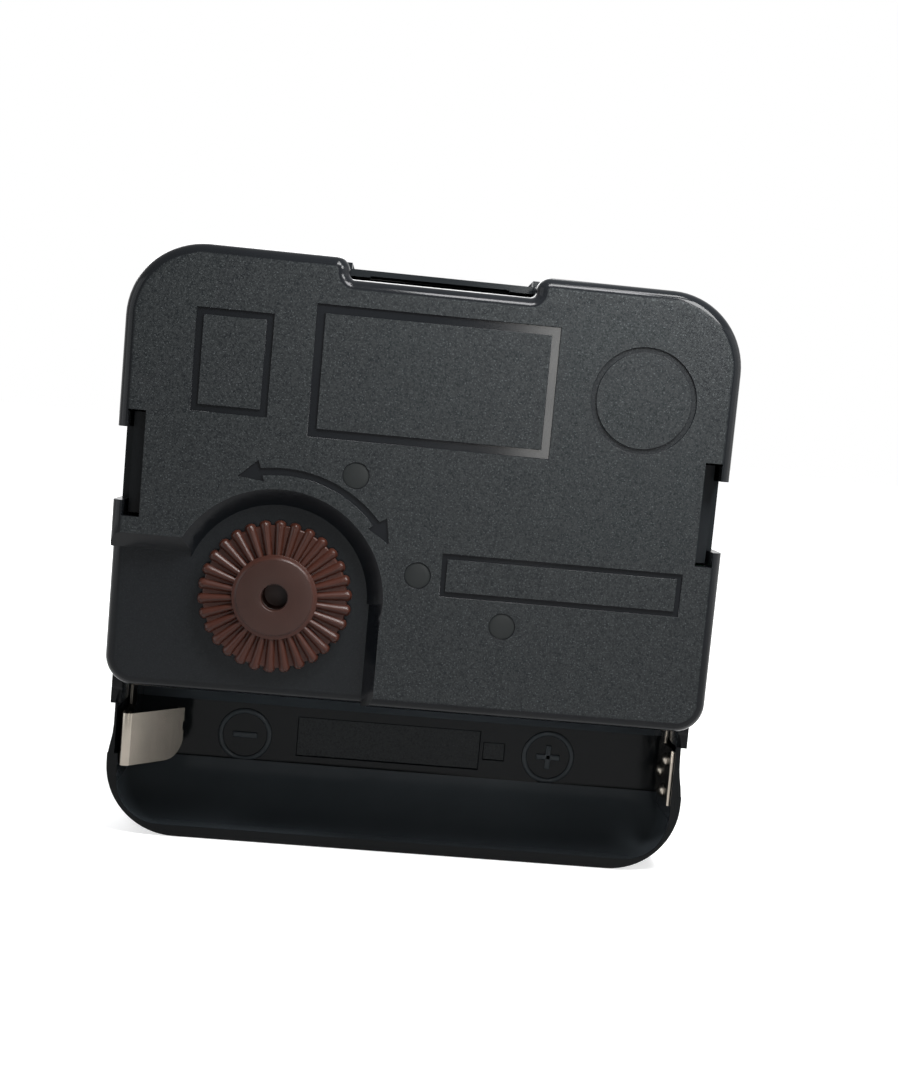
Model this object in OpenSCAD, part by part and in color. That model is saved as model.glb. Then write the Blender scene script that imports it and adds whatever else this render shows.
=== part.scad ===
// Quartz clock movement with a single cell bay, a setting knob and a threaded hand shaft.
// Drawn as seen from the rear with the cell bay below, then turned so that +Z is up and
// +Y is the rear. The origin is the hand shaft's axis at the front mounting face.

/* [Case] */
// Width of the movement
case_w = 56; // [52:0.5:60]
// Distance from the shaft axis up to the upper edge
upper_y = 28; // [27:0.1:30]
// Full thickness from the front face to the rear face
case_t = 16; // [15:0.1:18]
// Corner radius at the upper end
corner_r = 7; // [5:0.1:9]
// Corner radius at the cell bay's end
bay_corner_r = 6.8; // [5:0.1:7.5]
// Thickness of the case's front plate
front_t = 1.2; // [0.8:0.1:1.6]
// Thickness of the side walls
wall_t = 1.2; // [0.8:0.1:1.6]
// Height of the line where the cover meets the case
parting_z = 10.5; // [9.5:0.1:11.5]

/* [Cell bay] */
// Height of the bay's rim
bay_rim_z = 9.3; // [8.5:0.1:10]
// Distance from the shaft axis down to the cell's axis
cell_y = 19.6; // [19:0.05:20.5]
// Distance from the cell's axis down to the movement's lower edge
cell_edge = 8.4; // [8.2:0.05:9]
// Height of the cell's axis
cell_z = 8.3; // [8:0.05:8.6]
// Radius of the cradle that the cell lies in
cradle_r = 7.35; // [7.3:0.01:7.45]
// Thickness of the bay's end walls and rim
bay_wall_t = 1; // [0.7:0.05:1.2]
// Radius of the bay's inner corners
bay_inner_r = 4.2; // [3.5:0.1:4.6]
// Distance from the cell's axis up to the dividing wall's upper face
divider_up = 8.2; // [8:0.1:8.5]
// Edges of the flat strip in the bay, above and below the cell's axis
strip_up = 3.8; // [2.6:0.1:4.4]
strip_down = 2.2; // [1.4:0.1:3.2]
// Height of the flat strip's floor
strip_z = 0.85; // [0.6:0.05:1]
// Edges of the openings in the bay's end walls, above and below the cell's axis
end_gap_up = 4.2; // [2.6:0.1:5]
end_gap_down = 0.7; // [0:0.1:2.2]
// Height of the lower edge of those openings
end_gap_z = 2.6; // [2:0.1:5]

/* [Rear cover] */
// Thickness of the cover's plate
cover_t = 1.3; // [1:0.1:1.8]
// Thickness of the cover's side walls
cover_wall_t = 1.2; // [0.8:0.1:1.6]
// Distance from the cell's axis up to the cover's lower edge
cover_low_up = 6.9; // [6.7:0.1:7.3]
// Corner radius at the cover's lower edge
cover_low_r = 2.8; // [2:0.1:4]
// Radius of the rounded edge around the rear face
cover_edge_r = 1.2; // [0.4:0.05:1.4]
// Depth of the lower face around the knob
well_d = 1.4; // [1:0.1:2]
// Radius of the knob's well at its floor
well_floor_r = 8.4; // [8:0.1:9]
// Radius of the knob's well at the rear face
well_top_r = 9.9; // [9:0.1:10.5]
// Right end of the well at its floor and at the rear face, left of the shaft axis
well_floor_x = 4.2; // [3.5:0.1:5]
well_top_x = 3.1; // [2.5:0.1:4]
// Upper end of the well's left part at its floor and at the rear face
well_floor_y = 0.16; // [0:0.02:0.5]
well_top_y = 1.6; // [1.2:0.1:2]
// Width and depth of the notch in the upper edge
notch_w = 16.9; // [16:0.1:19]
notch_d = 1.9; // [1.6:0.05:2.4]
// Radius of the notch's inner corners
notch_in_r = 0.5; // [0.4:0.05:0.55]
// Side pockets for the latches: width from the outer side, lower and upper end
pocket_in = 2.55; // [2:0.05:3]
pocket_low_y = 3.1; // [2.5:0.1:4]
pocket_top_y = 12.7; // [12:0.1:14]
// Width of the wall that is left beside a pocket
pocket_wall = 0.95; // [0.7:0.05:1.2]
// Lower and upper end of the gap in the cover's wall at a pocket
gap_low_y = 4.5; // [4:0.1:5]
gap_top_y = 11.1; // [10.5:0.1:12]
// Depth of the engraved lines on the rear face
line_d = 0.15; // [0.05:0.01:0.3]
// Width of the engraved lines
line_w = 0.6; // [0.3:0.05:1]
// Radius and depth of the round marks over the bearings
dot_r = 1.2; // [0.8:0.1:1.6]
dot_d = 0.1; // [0.05:0.01:0.3]

/* [Setting knob] */
// Position of the knob's axis, left of and below the shaft axis
knob_x = 12.82; // [12.5:0.02:13.2]
knob_y = 3.16; // [3:0.02:3.4]
// Radius over the ribs
knob_r = 7; // [6.5:0.1:7.5]
// Radius of the flat middle
knob_hub_r = 3.9; // [3:0.1:4.5]
// Radius of the knob's solid rim between the ribs
knob_web_r = 6.2; // [5.5:0.1:6.4]
// Number of ribs
knob_ribs = 30; // [24:1:36]
// Radius of one rib
rib_r = 0.42; // [0.3:0.02:0.5]
// Radius and floor height of the hole in the knob
knob_hole_r = 1.2; // [0.8:0.05:1.4]
knob_hole_z = 9; // [8:0.5:14]
// Gap between the knob and the floor of its well
knob_gap = 0.3; // [0.2:0.05:0.5]
// How far the ribs' outer ends lie below the flat middle
rib_drop = 0.45; // [0.2:0.05:0.6]
// Radius of the knob's stem
stem_r = 2; // [1.6:0.1:2.2]
// Radius of the pivot at the stem's front end
stem_pivot_r = 1; // [0.6:0.1:1.2]

/* [Hand shaft] */
// Radius over the thread's crests
thread_r = 4; // [3.5:0.1:5]
// Depth of the thread
thread_d = 0.35; // [0.2:0.05:0.5]
// Distance between crests
thread_pitch = 0.75; // [0.6:0.05:1]
// Length of the threaded part in front of the case
thread_len = 7.5; // [6:0.75:15]
// Radius and thickness of the bushing's flange
flange_r = 5.5; // [5:0.1:6]
flange_t = 0.6; // [0.4:0.05:0.8]
// Radius of the hour hand's seat
hour_tube_r = 2.55; // [2.4:0.01:2.6]
// Length of the hour hand's tube in front of the case
hour_len = 9.6; // [8:0.1:14]
// Radius of the minute hand's seat
minute_tube_r = 1.6; // [1.5:0.01:1.7]
// Length of the minute hand's tube in front of the case
minute_len = 12.8; // [10:0.1:17]
// Radius of the second hand's seat
second_r = 0.5; // [0.4:0.01:0.55]
// Length of the second hand's arbor in front of the case
second_len = 14.6; // [12:0.1:19]
// How much thicker than its hand's seat each tube and the arbor is
seat_step = 0.2; // [0.18:0.01:0.25]
// Room between a hand's seat and the tube end behind it
seat_room = 0.3; // [0.2:0.05:0.5]
// Running clearance of shafts in their holes
fit = 0.06; // [0.03:0.01:0.09]

/* [Wheels] */
// Distance from the shaft axis to the third wheel, and its direction
third_a = 10.67; // [10.5:0.01:10.8]
third_dir = 126.5; // [124:0.5:129]
// Distance from the shaft axis to the intermediate wheel, and its direction
inter_a = 9.1; // [9:0.01:9.2]
inter_dir = -26.4; // [-28:0.2:-24]
// Distance from the intermediate wheel to the rotor, and its direction
rotor_a = 6.24; // [6.2:0.01:6.3]
rotor_dir = 45; // [43:1:47]
// Distance from the shaft axis to the minute wheel
motion_a = 6.9; // [6.8:0.02:7]
// Distance from the knob's axis to the minute wheel
knob_a = 8.625; // [8.6:0.005:8.65]
// Thickness of the wheels
wheel_t = 0.9; // [0.7:0.05:1]
// Height of the teeth above the pitch circle, in modules
tooth_add = 0.8; // [0.6:0.05:0.85]
// Depth of the teeth below the pitch circle, in modules
tooth_ded = 1.2; // [1.1:0.05:1.25]
// Tooth width at the pitch circle as a share of half a pitch
tooth_w = 0.76; // [0.6:0.02:0.8]
// Tooth width at the tip as a share of half a pitch
tip_w = 0.38; // [0.25:0.01:0.45]
// Radius of the wheels' arbors
arbor_r = 0.7; // [0.6:0.05:0.9]
// Radius of the wheels' pivots
pivot_r = 0.35; // [0.3:0.01:0.4]

/* [Motor and circuit] */
// Radius of the rotor's magnet
magnet_r = 2.4; // [2:0.1:2.5]
// Radius of the hole in the stator
stator_hole_r = 2.7; // [2.6:0.05:3]
// Thickness of the stator and core plates
lamination_t = 1; // [0.8:0.05:1]
// How far the coil's axis lies left of the middle between the stator and the side wall
coil_off = 0.38; // [0.1:0.02:0.6]
// Gap between the bobbin's ends and the stator's legs
coil_gap = 0.5; // [0.3:0.1:1.5]
// Radius of the winding and of the bobbin's end plates
winding_r = 3.2; // [2.8:0.1:3.3]
bobbin_r = 3.6; // [3.4:0.1:3.8]
// Left and upper edge of the circuit board, from the shaft axis
board_x0 = 14.4; // [14.2:0.1:16]
board_y1 = 9; // [7:0.1:12]
// Gap between the board's right edge and the side wall
board_gap_x = 0.6; // [0.3:0.1:1]
// Gap between the board's lower edge and the dividing wall
board_gap_y = 0.4; // [0.2:0.1:1]
// Height of the board's underside and its thickness
board_z = 3.4; // [3:0.1:4]
board_t = 0.8; // [0.6:0.1:1]
// Thickness of the contact metal
contact_t = 0.3; // [0.2:0.05:0.4]

/* [Hidden] */
$fn = 64;
over = 0.5;
half_w = case_w / 2;

// Outer edges, and what is placed from them and from the cell's axis
bay_x = half_w - bay_wall_t;
inner_x = half_w - wall_t;
inner_y = upper_y - wall_t;
lower_y = cell_y + cell_edge;
cradle_y = -cell_y;
divider_y = cell_y - divider_up;
strip_top_y = cell_y - strip_up;
strip_low_y = cell_y + strip_down;
end_gap_top_y = cell_y - end_gap_up;
end_gap_low_y = cell_y + end_gap_down;
cover_low_y = cell_y - cover_low_up;
notch_x = notch_w / 2;
notch_y = upper_y - notch_d;
pocket_x = half_w - pocket_in;
board_x1 = inner_x - board_gap_x;
board_y0 = board_gap_y - divider_y;

// Contacts: edges above and below the cell's axis, and the tail's end above the dividing wall
leaf_up = 3.3;
leaf_down = 1.8;
tail_up = 3.4;
spring_top_y = cell_y - leaf_up;
spring_low_y = cell_y + leaf_down;
contact_low_y = cell_y + leaf_down;
tail_end_y = divider_y - tail_up;

// Edges of the middle plate and of the stator
plate_x0 = -15;
plate_x1 = 16.6;
plate_gap = 1.2;
plate_y0 = plate_gap - divider_y;
plate_y1 = 14.6;
plate_step_x = -8;
plate_step_y = 1.8;
plate_top_x = 9;
stator_gap = 1.9;
stator_low_y = stator_gap - divider_y;
stator_top_y = 17;

// Places on the circuit board, from its left lower corner
chip_in = 3.2;
chip_up = 7.6;
crystal_in = 2.2;
crystal_up = 12.4;

// Heights of the faces round the knob
well_z = case_t - well_d;
knob_low_z = well_z + knob_gap;
knob_top_z = case_t;
plate_z = case_t - cover_t;
well_plate_z = well_z - cover_t;
tab_t = 0.8;
collar_r = thread_r + 0.2;
close = 0.02;

// Outer radii of the tubes and the arbor behind the hands' seats
hour_body_r = hour_tube_r + seat_step;
minute_body_r = minute_tube_r + seat_step;
second_body_r = second_r + seat_step;
second_top_r = second_r + seat_step / 2;

// Loop and tongue at the upper edge, and slots for the contacts' tails
notch_out_more = 0.05;
notch_out_r = cover_edge_r + notch_out_more;
// the inner corners are limited by the notch's side, which keeps a short straight run
notch_run = 0.1;
notch_run_min = 0.05;
notch_side_r = max(notch_run_min, min(notch_in_r, notch_d - notch_out_r - notch_run));
loop_drop = 1.5;
loop_in = 0.55;
loop_t = 0.5;
recess_z = 2;
tongue_in = 0.2;
loop_x0 = -6.7;
loop_x1 = 6.3;
tail_z0 = 2.2;
tail_z1 = 4.8;
tail_room = 0.4;
contact_low_z = 1.8;
contact_gap = 0.05;

// Frames, ring and arrow on the rear face
left_frame = [-21.6, -14.78, 13.08, 22.3];
top_frame = [-11.02, 10.96, 11.7, 23.59];
low_frame = [2.16, 24.4, -1.73, 2.22];
ring_x = 19.15;
ring_y = 17.75;
ring_r = 4.85;
arrow_r = 11.5;
arrow_from = 36;
arrow_turn = 69;

third_x = third_a * cos(third_dir);
third_y = third_a * sin(third_dir);
inter_x = inter_a * cos(inter_dir);
inter_y = inter_a * sin(inter_dir);
rotor_x = inter_x + rotor_a * cos(rotor_dir);
rotor_y = inter_y + rotor_a * sin(rotor_dir);
knob_d = sqrt(knob_x * knob_x + knob_y * knob_y);
knob_dir = 180 + atan2(knob_y, knob_x);
motion_along = (motion_a * motion_a - knob_a * knob_a + knob_d * knob_d) / (2 * knob_d);
motion_dir = knob_dir + acos(motion_along / motion_a);
motion_x = motion_a * cos(motion_dir);
motion_y = motion_a * sin(motion_dir);
motion_to_knob = atan2(-knob_y - motion_y, -knob_x - motion_x);

// Tooth counts of the going train and of the motion work
centre_n = 64;
third_pin_n = 8;
third_n = 60;
second_pin_n = 8;
second_n = 60;
inter_pin_n = 10;
inter_n = 40;
rotor_pin_n = 8;
cannon_n = 12;
minute_n = 36;
minute_pin_n = 10;
hour_n = 40;
knob_n = 24;

// Heights of the wheels, from the front plate to the rear cover
gap_z = 0.3;
hour_z = front_t + gap_z;
minute_pin_z = hour_z - gap_z / 2;
minute_z = hour_z + wheel_t + gap_z;
cannon_z = minute_z - gap_z / 3;
cannon_t = wheel_t + gap_z * 2;
neck_z = cannon_z + cannon_t;
neck_r = 1.15;
clutch_z = neck_z + gap_z / 3;
clutch_t = 0.4;
centre_z = clutch_z + clutch_t + gap_z / 3;
neck_end_z = centre_z + wheel_t + gap_z / 3;
third_pin_z = centre_z - gap_z / 2;
mid_z = 6.3;
mid_t = 0.8;
mid_top_z = mid_z + mid_t;
third_z = mid_top_z + gap_z;
second_pin_z = mid_top_z + gap_z / 3;
stator_z = 8.6;
magnet_z = 7.9;
magnet_t = 2.3;
second_z = 9.6;
inter_z = 11.6;
boss_z = 13;
boss_r = 1.3;
motion_post_r = 0.6;
pivot_in = 1;
pivot_room = 0.2;
knob_pin_z = cannon_z;
knob_boss_t = 1.2;
stem_low_z = front_t + gap_z;
coil_z = stator_z + lamination_t * 1.5;
core_w = 2.6;
end_t = 0.8;
tube_r = 1.9;
leg_w = 3;
bar_w = 4.6;
stator_plate_r = 4;
coil_x = (rotor_x + stator_plate_r + inner_x) / 2 - coil_off;
coil_low_y = stator_low_y + leg_w + coil_gap;
coil_top_y = stator_top_y - leg_w - coil_gap;
spring_in = 1.7;
spring_x = half_w - spring_in;
spring_z = 8.9;
spring_bend_r = 0.6;
spring_len = 6.6;
spring_lean = 41;
spring_curl_r = 0.45;

// Places of the posts under the middle plate and the circuit board
post_in = 1.4;
post_x = 11;
post_mid_x = -2;
post_left_y = 10.5;
post_high_y = 8.4;
board_post_in = 1.6;
plate_posts = [[post_x, post_high_y], [plate_x0 + post_in, post_left_y],
               [post_x, plate_y0 + post_in], [post_mid_x, plate_y1 - post_in]];
board_posts = [[board_x0 + board_post_in, board_y1 - post_in], [board_x1 - post_in, board_y1 - post_in],
               [board_x0 + board_post_in, board_y0 + post_in]];

// Turns the drawing from the rear view into the movement's own frame.
module placed() {
    rotate([90, 0, 180]) children();
}

// Rectangle with round corners, one radius at each end.
module rounded_2d(x0, x1, y0, y1, r_top, r_low) {
    translate([x0, y0 + r_low]) square([x1 - x0, y1 - y0 - r_top - r_low]);
    translate([x0 + r_top, y1 - r_top - over]) square([x1 - x0 - 2 * r_top, r_top + over]);
    translate([x0 + r_low, y0]) square([x1 - x0 - 2 * r_low, r_low + over]);
    for (x = [x0 + r_top, x1 - r_top]) translate([x, y1 - r_top]) circle(r_top);
    for (x = [x0 + r_low, x1 - r_low]) translate([x, y0 + r_low]) circle(r_low);
}

module block(x0, x1, y0, y1, z0, z1) {
    translate([x0, y0, z0]) cube([x1 - x0, y1 - y0, z1 - z0]);
}

module post(x, y, z0, z1, r) {
    translate([x, y, z0]) cylinder(h = z1 - z0, r = r);
}

// Cutter that rounds the upper edge of a rounded block all round.
module edge_profile(c) {
    difference() {
        translate([-c, -c]) square(c + over);
        translate([-c, -c]) circle(c);
    }
}

module edge_side(len, c) {
    rotate([90, 0, 90]) translate([0, 0, -len / 2]) linear_extrude(len) edge_profile(c);
}

module edge_corner(r, c) {
    rotate_extrude(angle = 90) translate([r, 0]) edge_profile(c);
}

// The same edge round the inside of a round corner.
module inner_corner(r, c) {
    rotate_extrude(angle = 90) difference() {
        translate([r / 2, -c]) square([r / 2 + c, c + over]);
        translate([r + c, -c]) circle(c);
    }
}

module edge_ring(x0, x1, y0, y1, r_top, r_low, z, c) {
    mid_x = (x0 + x1) / 2;
    mid_y = (y0 + r_low + y1 - r_top) / 2;
    long_y = y1 - y0 - r_top - r_low;
    translate([mid_x, y1, z]) edge_side(x1 - x0 - 2 * r_top, c);
    translate([mid_x, y0, z]) rotate([0, 0, 180]) edge_side(x1 - x0 - 2 * r_low, c);
    translate([x1, mid_y, z]) rotate([0, 0, -90]) edge_side(long_y, c);
    translate([x0, mid_y, z]) rotate([0, 0, 90]) edge_side(long_y, c);
    translate([x1 - r_top, y1 - r_top, z]) edge_corner(r_top, c);
    translate([x0 + r_top, y1 - r_top, z]) rotate([0, 0, 90]) edge_corner(r_top, c);
    translate([x0 + r_low, y0 + r_low, z]) rotate([0, 0, 180]) edge_corner(r_low, c);
    translate([x1 - r_low, y0 + r_low, z]) rotate([0, 0, 270]) edge_corner(r_low, c);
}

// Toothed disc: n teeth of module m, one tooth centred on the direction given.
module toothed(n, m, dir, h) {
    root_r = m * (n / 2 - tooth_ded);
    pitch_r = m * n / 2;
    tip_r = m * (n / 2 + tooth_add);
    q = 90 / n;
    base_w = min(tooth_w * 1.2, 0.98);
    ring = [for (i = [0 : n - 1]) each [
        for (p = [[root_r, -base_w], [pitch_r, -tooth_w], [tip_r, -tip_w],
                  [tip_r, tip_w], [pitch_r, tooth_w], [root_r, base_w]])
            p[0] * [cos(dir + i * 360 / n + p[1] * q), sin(dir + i * 360 / n + p[1] * q)]]];
    linear_extrude(h) polygon(ring);
}

// Openings between a wheel's hub and its rim.
module spokes(hub_r, rim_r, count, h) {
    win_r = (rim_r - hub_r) * 0.36;
    mid_r = (rim_r + hub_r) / 2;
    for (i = [0 : count - 1]) rotate([0, 0, i * 360 / count])
        translate([mid_r, 0, -over]) cylinder(h = h + 2 * over, r = win_r);
}

module front_case() color([0.07, 0.07, 0.08]) placed() {
    difference() {
        union() {
            linear_extrude(bay_rim_z)
                rounded_2d(-half_w, half_w, -lower_y, upper_y, corner_r, bay_corner_r);
            linear_extrude(parting_z)
                rounded_2d(-half_w, half_w, cradle_y + cradle_r, upper_y, corner_r, over);
        }
        translate([0, 0, front_t]) linear_extrude(case_t)
            rounded_2d(-inner_x, inner_x, -divider_y, inner_y, corner_r - wall_t, over);
        bay_hollow();
        for (s = [-1, 1]) block(s > 0 ? bay_x - over : -half_w - over,
                                s > 0 ? half_w + over : -bay_x + over,
                                -end_gap_low_y, -end_gap_top_y, end_gap_z, case_t);
        for (s = [-1, 1]) block(s > 0 ? inner_x - tab_t : -bay_x,
                                s > 0 ? bay_x : -inner_x + tab_t,
                                -end_gap_top_y - over, s > 0 ? -tail_end_y + tail_room : -divider_y + over,
                                tail_z0 - tail_room, tail_z1 + tail_room);
        post(0, 0, -over, front_t + over, collar_r);
        post(0, 0, front_t - flange_t, front_t + over, flange_r + fit);
        block(loop_x0, loop_x1, inner_y - over, upper_y - loop_in - loop_t,
              parting_z - loop_drop, case_t);
        block(-notch_x, notch_x, upper_y - loop_in, upper_y + over, recess_z, case_t);
    }
    difference() {
        union() {
            post(-knob_x, -knob_y, front_t - over, front_t + knob_boss_t, stem_r);
            post(third_x, third_y, front_t - over, third_pin_z - gap_z, boss_r);
        }
        post(-knob_x, -knob_y, front_t, case_t, stem_pivot_r + fit);
        post(third_x, third_y, front_t + over, case_t, pivot_r + fit);
    }
    post(motion_x, motion_y, front_t - over, minute_z + wheel_t + gap_z, motion_post_r);
    for (p = plate_posts) post(p[0], p[1], front_t - over, mid_z, boss_r);
    for (p = board_posts) post(p[0], p[1], front_t - over, board_z, boss_r);
    post(coil_x, stator_top_y - leg_w / 2, front_t - over, stator_z, boss_r);
    post(coil_x, stator_low_y + leg_w / 2, front_t - over, stator_z, boss_r);
    latch_arm(-1);
    latch_arm(1);
}

// Hollow for the cell: a round cradle that opens to the rear, inside the bay's walls.
module bay_hollow() {
    intersection() {
        union() {
            translate([-half_w, cradle_y, cell_z]) rotate([0, 90, 0])
                cylinder(h = case_w, r = cradle_r);
            block(-half_w, half_w, cradle_y - cradle_r, cradle_y + cradle_r, cell_z, case_t);
            block(-half_w, half_w, -strip_low_y, -strip_top_y, strip_z, cell_z);
        }
        linear_extrude(case_t + over)
            rounded_2d(-bay_x, bay_x, cradle_y - cradle_r, 0, over, bay_inner_r);
    }
}

// Springy arm of the case that latches the cover, on one side.
module latch_arm(s) {
    in_x = pocket_x + tongue_in;
    out_x = half_w - pocket_wall - tongue_in;
    low_y = pocket_low_y + tongue_in;
    top_y = pocket_top_y - tongue_in;
    block(s > 0 ? in_x : -inner_x - over, s > 0 ? inner_x + over : -in_x, low_y, top_y,
          parting_z - 2, parting_z);
    block(s > 0 ? in_x : -out_x, s > 0 ? out_x : -in_x, low_y, top_y,
          parting_z - 2, well_plate_z + gap_z);
}

module threaded_bushing() color([0.78, 0.62, 0.32]) placed() {
    crests = floor(thread_len / thread_pitch);
    crest = [0.3, 0.55, 0.75];
    root_r = thread_r - thread_d;
    difference() {
        union() {
            post(0, 0, front_t - flange_t, front_t, flange_r);
            post(0, 0, 0, front_t - flange_t, collar_r - close);
            rotate_extrude() polygon(concat([[0, 0], [root_r, 0]],
                [for (i = [0 : crests - 1]) each [
                    [root_r, -(i + crest[0]) * thread_pitch], [thread_r, -(i + crest[1]) * thread_pitch],
                    [thread_r, -(i + crest[2]) * thread_pitch], [root_r, -(i + 1) * thread_pitch]]],
                [[0, -crests * thread_pitch]]));
        }
        post(0, 0, -thread_len - over, front_t + over, hour_body_r + fit);
    }
}

module rear_cover() color([0.08, 0.08, 0.09]) placed() {
    difference() {
        cover_body();
        cover_well();
        // pivots of the shaft, the third wheel, the intermediate wheel and the rotor
        post(0, 0, boss_z - over, boss_z + pivot_in + pivot_room, second_top_r + fit);
        for (p = [[third_x, third_y], [inter_x, inter_y], [rotor_x, rotor_y]])
            post(p[0], p[1], boss_z - over, boss_z + pivot_in + pivot_room, pivot_r + fit);
        post(-knob_x, -knob_y, well_plate_z - over, case_t, stem_r + fit);
        for (s = [-1, 1]) {
            block(s > 0 ? pocket_x : -half_w + pocket_wall,
                  s > 0 ? half_w - pocket_wall : -pocket_x,
                  pocket_low_y, pocket_top_y, parting_z - over, case_t + over);
            block(s > 0 ? half_w - pocket_wall - over : -half_w - over,
                  s > 0 ? half_w + over : -half_w + pocket_wall + over,
                  gap_low_y, gap_top_y, parting_z - over, case_t + over);
        }
        face_lines();
    }
    // tongue that the case's loop holds
    block(loop_x0 + tongue_in, loop_x1 - tongue_in, notch_y - over, notch_y + gap_z,
          parting_z, parting_z + tab_t);
}

module cover_body() {
    difference() {
        translate([0, 0, parting_z]) linear_extrude(case_t - parting_z)
            rounded_2d(-half_w, half_w, -cover_low_y, upper_y, corner_r, cover_low_r);
        difference() {
            translate([0, 0, parting_z - over]) linear_extrude(plate_z - parting_z + over)
                rounded_2d(-half_w + cover_wall_t, half_w - cover_wall_t,
                           -cover_low_y + cover_wall_t, upper_y - cover_wall_t,
                           corner_r - cover_wall_t, cover_low_r - cover_wall_t);
            well_backing();
            block(-notch_x - cover_wall_t, notch_x + cover_wall_t, notch_y - cover_wall_t,
                  upper_y, parting_z - over, case_t);
            for (p = [[0, 0], [third_x, third_y], [inter_x, inter_y], [rotor_x, rotor_y]])
                post(p[0], p[1], boss_z, case_t, boss_r);
        }
        cover_notch();
        edge_ring(-half_w, half_w, -cover_low_y, upper_y, corner_r, cover_low_r,
                  case_t, cover_edge_r);
        intersection() {
            edge_ring(-half_w, half_w, -cover_low_y, upper_y, corner_r, cover_low_r,
                      well_z, cover_edge_r);
            block(-half_w - over, -well_floor_x, -lower_y, well_floor_y,
                  parting_z, well_z + over);
        }
    }
}

// Notch in the upper edge, with round corners and the rounded edge carried round it.
module cover_notch() {
    c = cover_edge_r;
    out_x = notch_x + notch_out_r;
    out_y = upper_y - notch_out_r;
    in_x = notch_x - notch_side_r;
    in_y = notch_y + notch_side_r;
    mid_y = (in_y + out_y) / 2;
    translate([0, 0, parting_z - over]) linear_extrude(case_t - parting_z + 2 * over) {
        translate([-in_x, notch_y]) square([2 * in_x, upper_y - notch_y + over]);
        for (s = [0, 1]) mirror([s, 0]) notch_side(in_x, in_y, out_x, out_y);
    }
    translate([0, notch_y, case_t]) edge_side(2 * in_x, c);
    translate([-notch_x, mid_y, case_t]) rotate([0, 0, -90]) edge_side(out_y - in_y, c);
    translate([notch_x, mid_y, case_t]) rotate([0, 0, 90]) edge_side(out_y - in_y, c);
    translate([-out_x, out_y, case_t]) edge_corner(notch_out_r, c);
    translate([out_x, out_y, case_t]) rotate([0, 0, 90]) edge_corner(notch_out_r, c);
    translate([-in_x, in_y, case_t]) rotate([0, 0, 180]) inner_corner(notch_side_r, c);
    translate([in_x, in_y, case_t]) rotate([0, 0, 270]) inner_corner(notch_side_r, c);
}

// Right end of the notch, as a flat shape.
module notch_side(in_x, in_y, out_x, out_y) {
    translate([in_x, in_y]) circle(notch_side_r);
    translate([in_x - over, in_y]) square([notch_side_r + over, upper_y - in_y + over]);
    difference() {
        translate([notch_x - over, out_y]) square([notch_out_r + over, notch_out_r + over]);
        translate([out_x, out_y]) circle(notch_out_r);
    }
}

// Material under the knob's well.
module well_backing() {
    post(-knob_x, -knob_y, well_plate_z, case_t, well_top_r + cover_wall_t);
    block(-half_w, -well_top_x + cover_wall_t, -lower_y, -knob_y, well_plate_z, case_t);
    block(-half_w, -knob_x, -lower_y, well_top_y + cover_wall_t, well_plate_z, case_t);
}

// Lower region around the knob, with sloping walls.
module cover_well() {
    rise = case_t - well_z;
    slope_r = (well_top_r - well_floor_r) / rise;
    slope_x = (well_floor_x - well_top_x) / rise;
    slope_y = (well_top_y - well_floor_y) / rise;
    translate([-knob_x, -knob_y, well_z])
        cylinder(h = rise + over, r1 = well_floor_r, r2 = well_top_r + slope_r * over);
    translate([0, -knob_y, 0]) rotate([90, 0, 0]) linear_extrude(lower_y)
        polygon([[-half_w - over, well_z], [-well_floor_x, well_z],
                 [-well_top_x + slope_x * over, case_t + over], [-half_w - over, case_t + over]]);
    translate([-half_w - over, 0, 0]) rotate([90, 0, 90])
        linear_extrude(half_w + over - knob_x - well_floor_r + over)
        polygon([[-lower_y, well_z], [well_floor_y, well_z],
                 [well_top_y + slope_y * over, case_t + over], [-lower_y, case_t + over]]);
    block(-half_w - over, -knob_x, -lower_y, -knob_y, well_z, case_t + over);
}

// Rectangular line, as a cutter. Its edges are left, right, lower and upper.
module frame_line(e, w) {
    difference() {
        block(e[0], e[1], e[2], e[3], case_t - line_d, case_t + over);
        block(e[0] + w, e[1] - w, e[2] + w, e[3] - w, case_t - line_d - over, case_t + 2 * over);
    }
}

module ring_line(x, y, r, w, z, d) {
    difference() {
        post(x, y, z - d, z + over, r);
        post(x, y, z - d - over, z + 2 * over, r - w);
    }
}

// Plain engraved frames, a ring, the round marks and the setting arrow on the rear face.
module face_lines() {
    head_turn = 3;
    head_w = line_w * 1.6;
    head_len = line_w * 2.6;
    frame_line(left_frame, line_w);
    frame_line(top_frame, line_w + line_d);
    frame_line(low_frame, line_w - line_d);
    ring_line(ring_x, ring_y, ring_r, line_w - line_d, case_t, line_d);
    for (p = [[0, 0], [third_x, third_y], [inter_x, inter_y]])
        post(p[0], p[1], case_t - dot_d, case_t + over, dot_r);
    translate([-knob_x, -knob_y, case_t - line_d]) {
        rotate([0, 0, arrow_from]) rotate_extrude(angle = arrow_turn)
            translate([arrow_r - line_w / 2, 0]) square([line_w, over]);
        for (e = [[arrow_from + arrow_turn + head_turn, -1], [arrow_from - head_turn, 1]])
            rotate([0, 0, e[0]]) translate([arrow_r, 0, 0])
            linear_extrude(over) polygon([[-head_w, e[1] * head_len], [head_w, e[1] * head_len],
                                          [0, -e[1] * line_w]]);
    }
}

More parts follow.
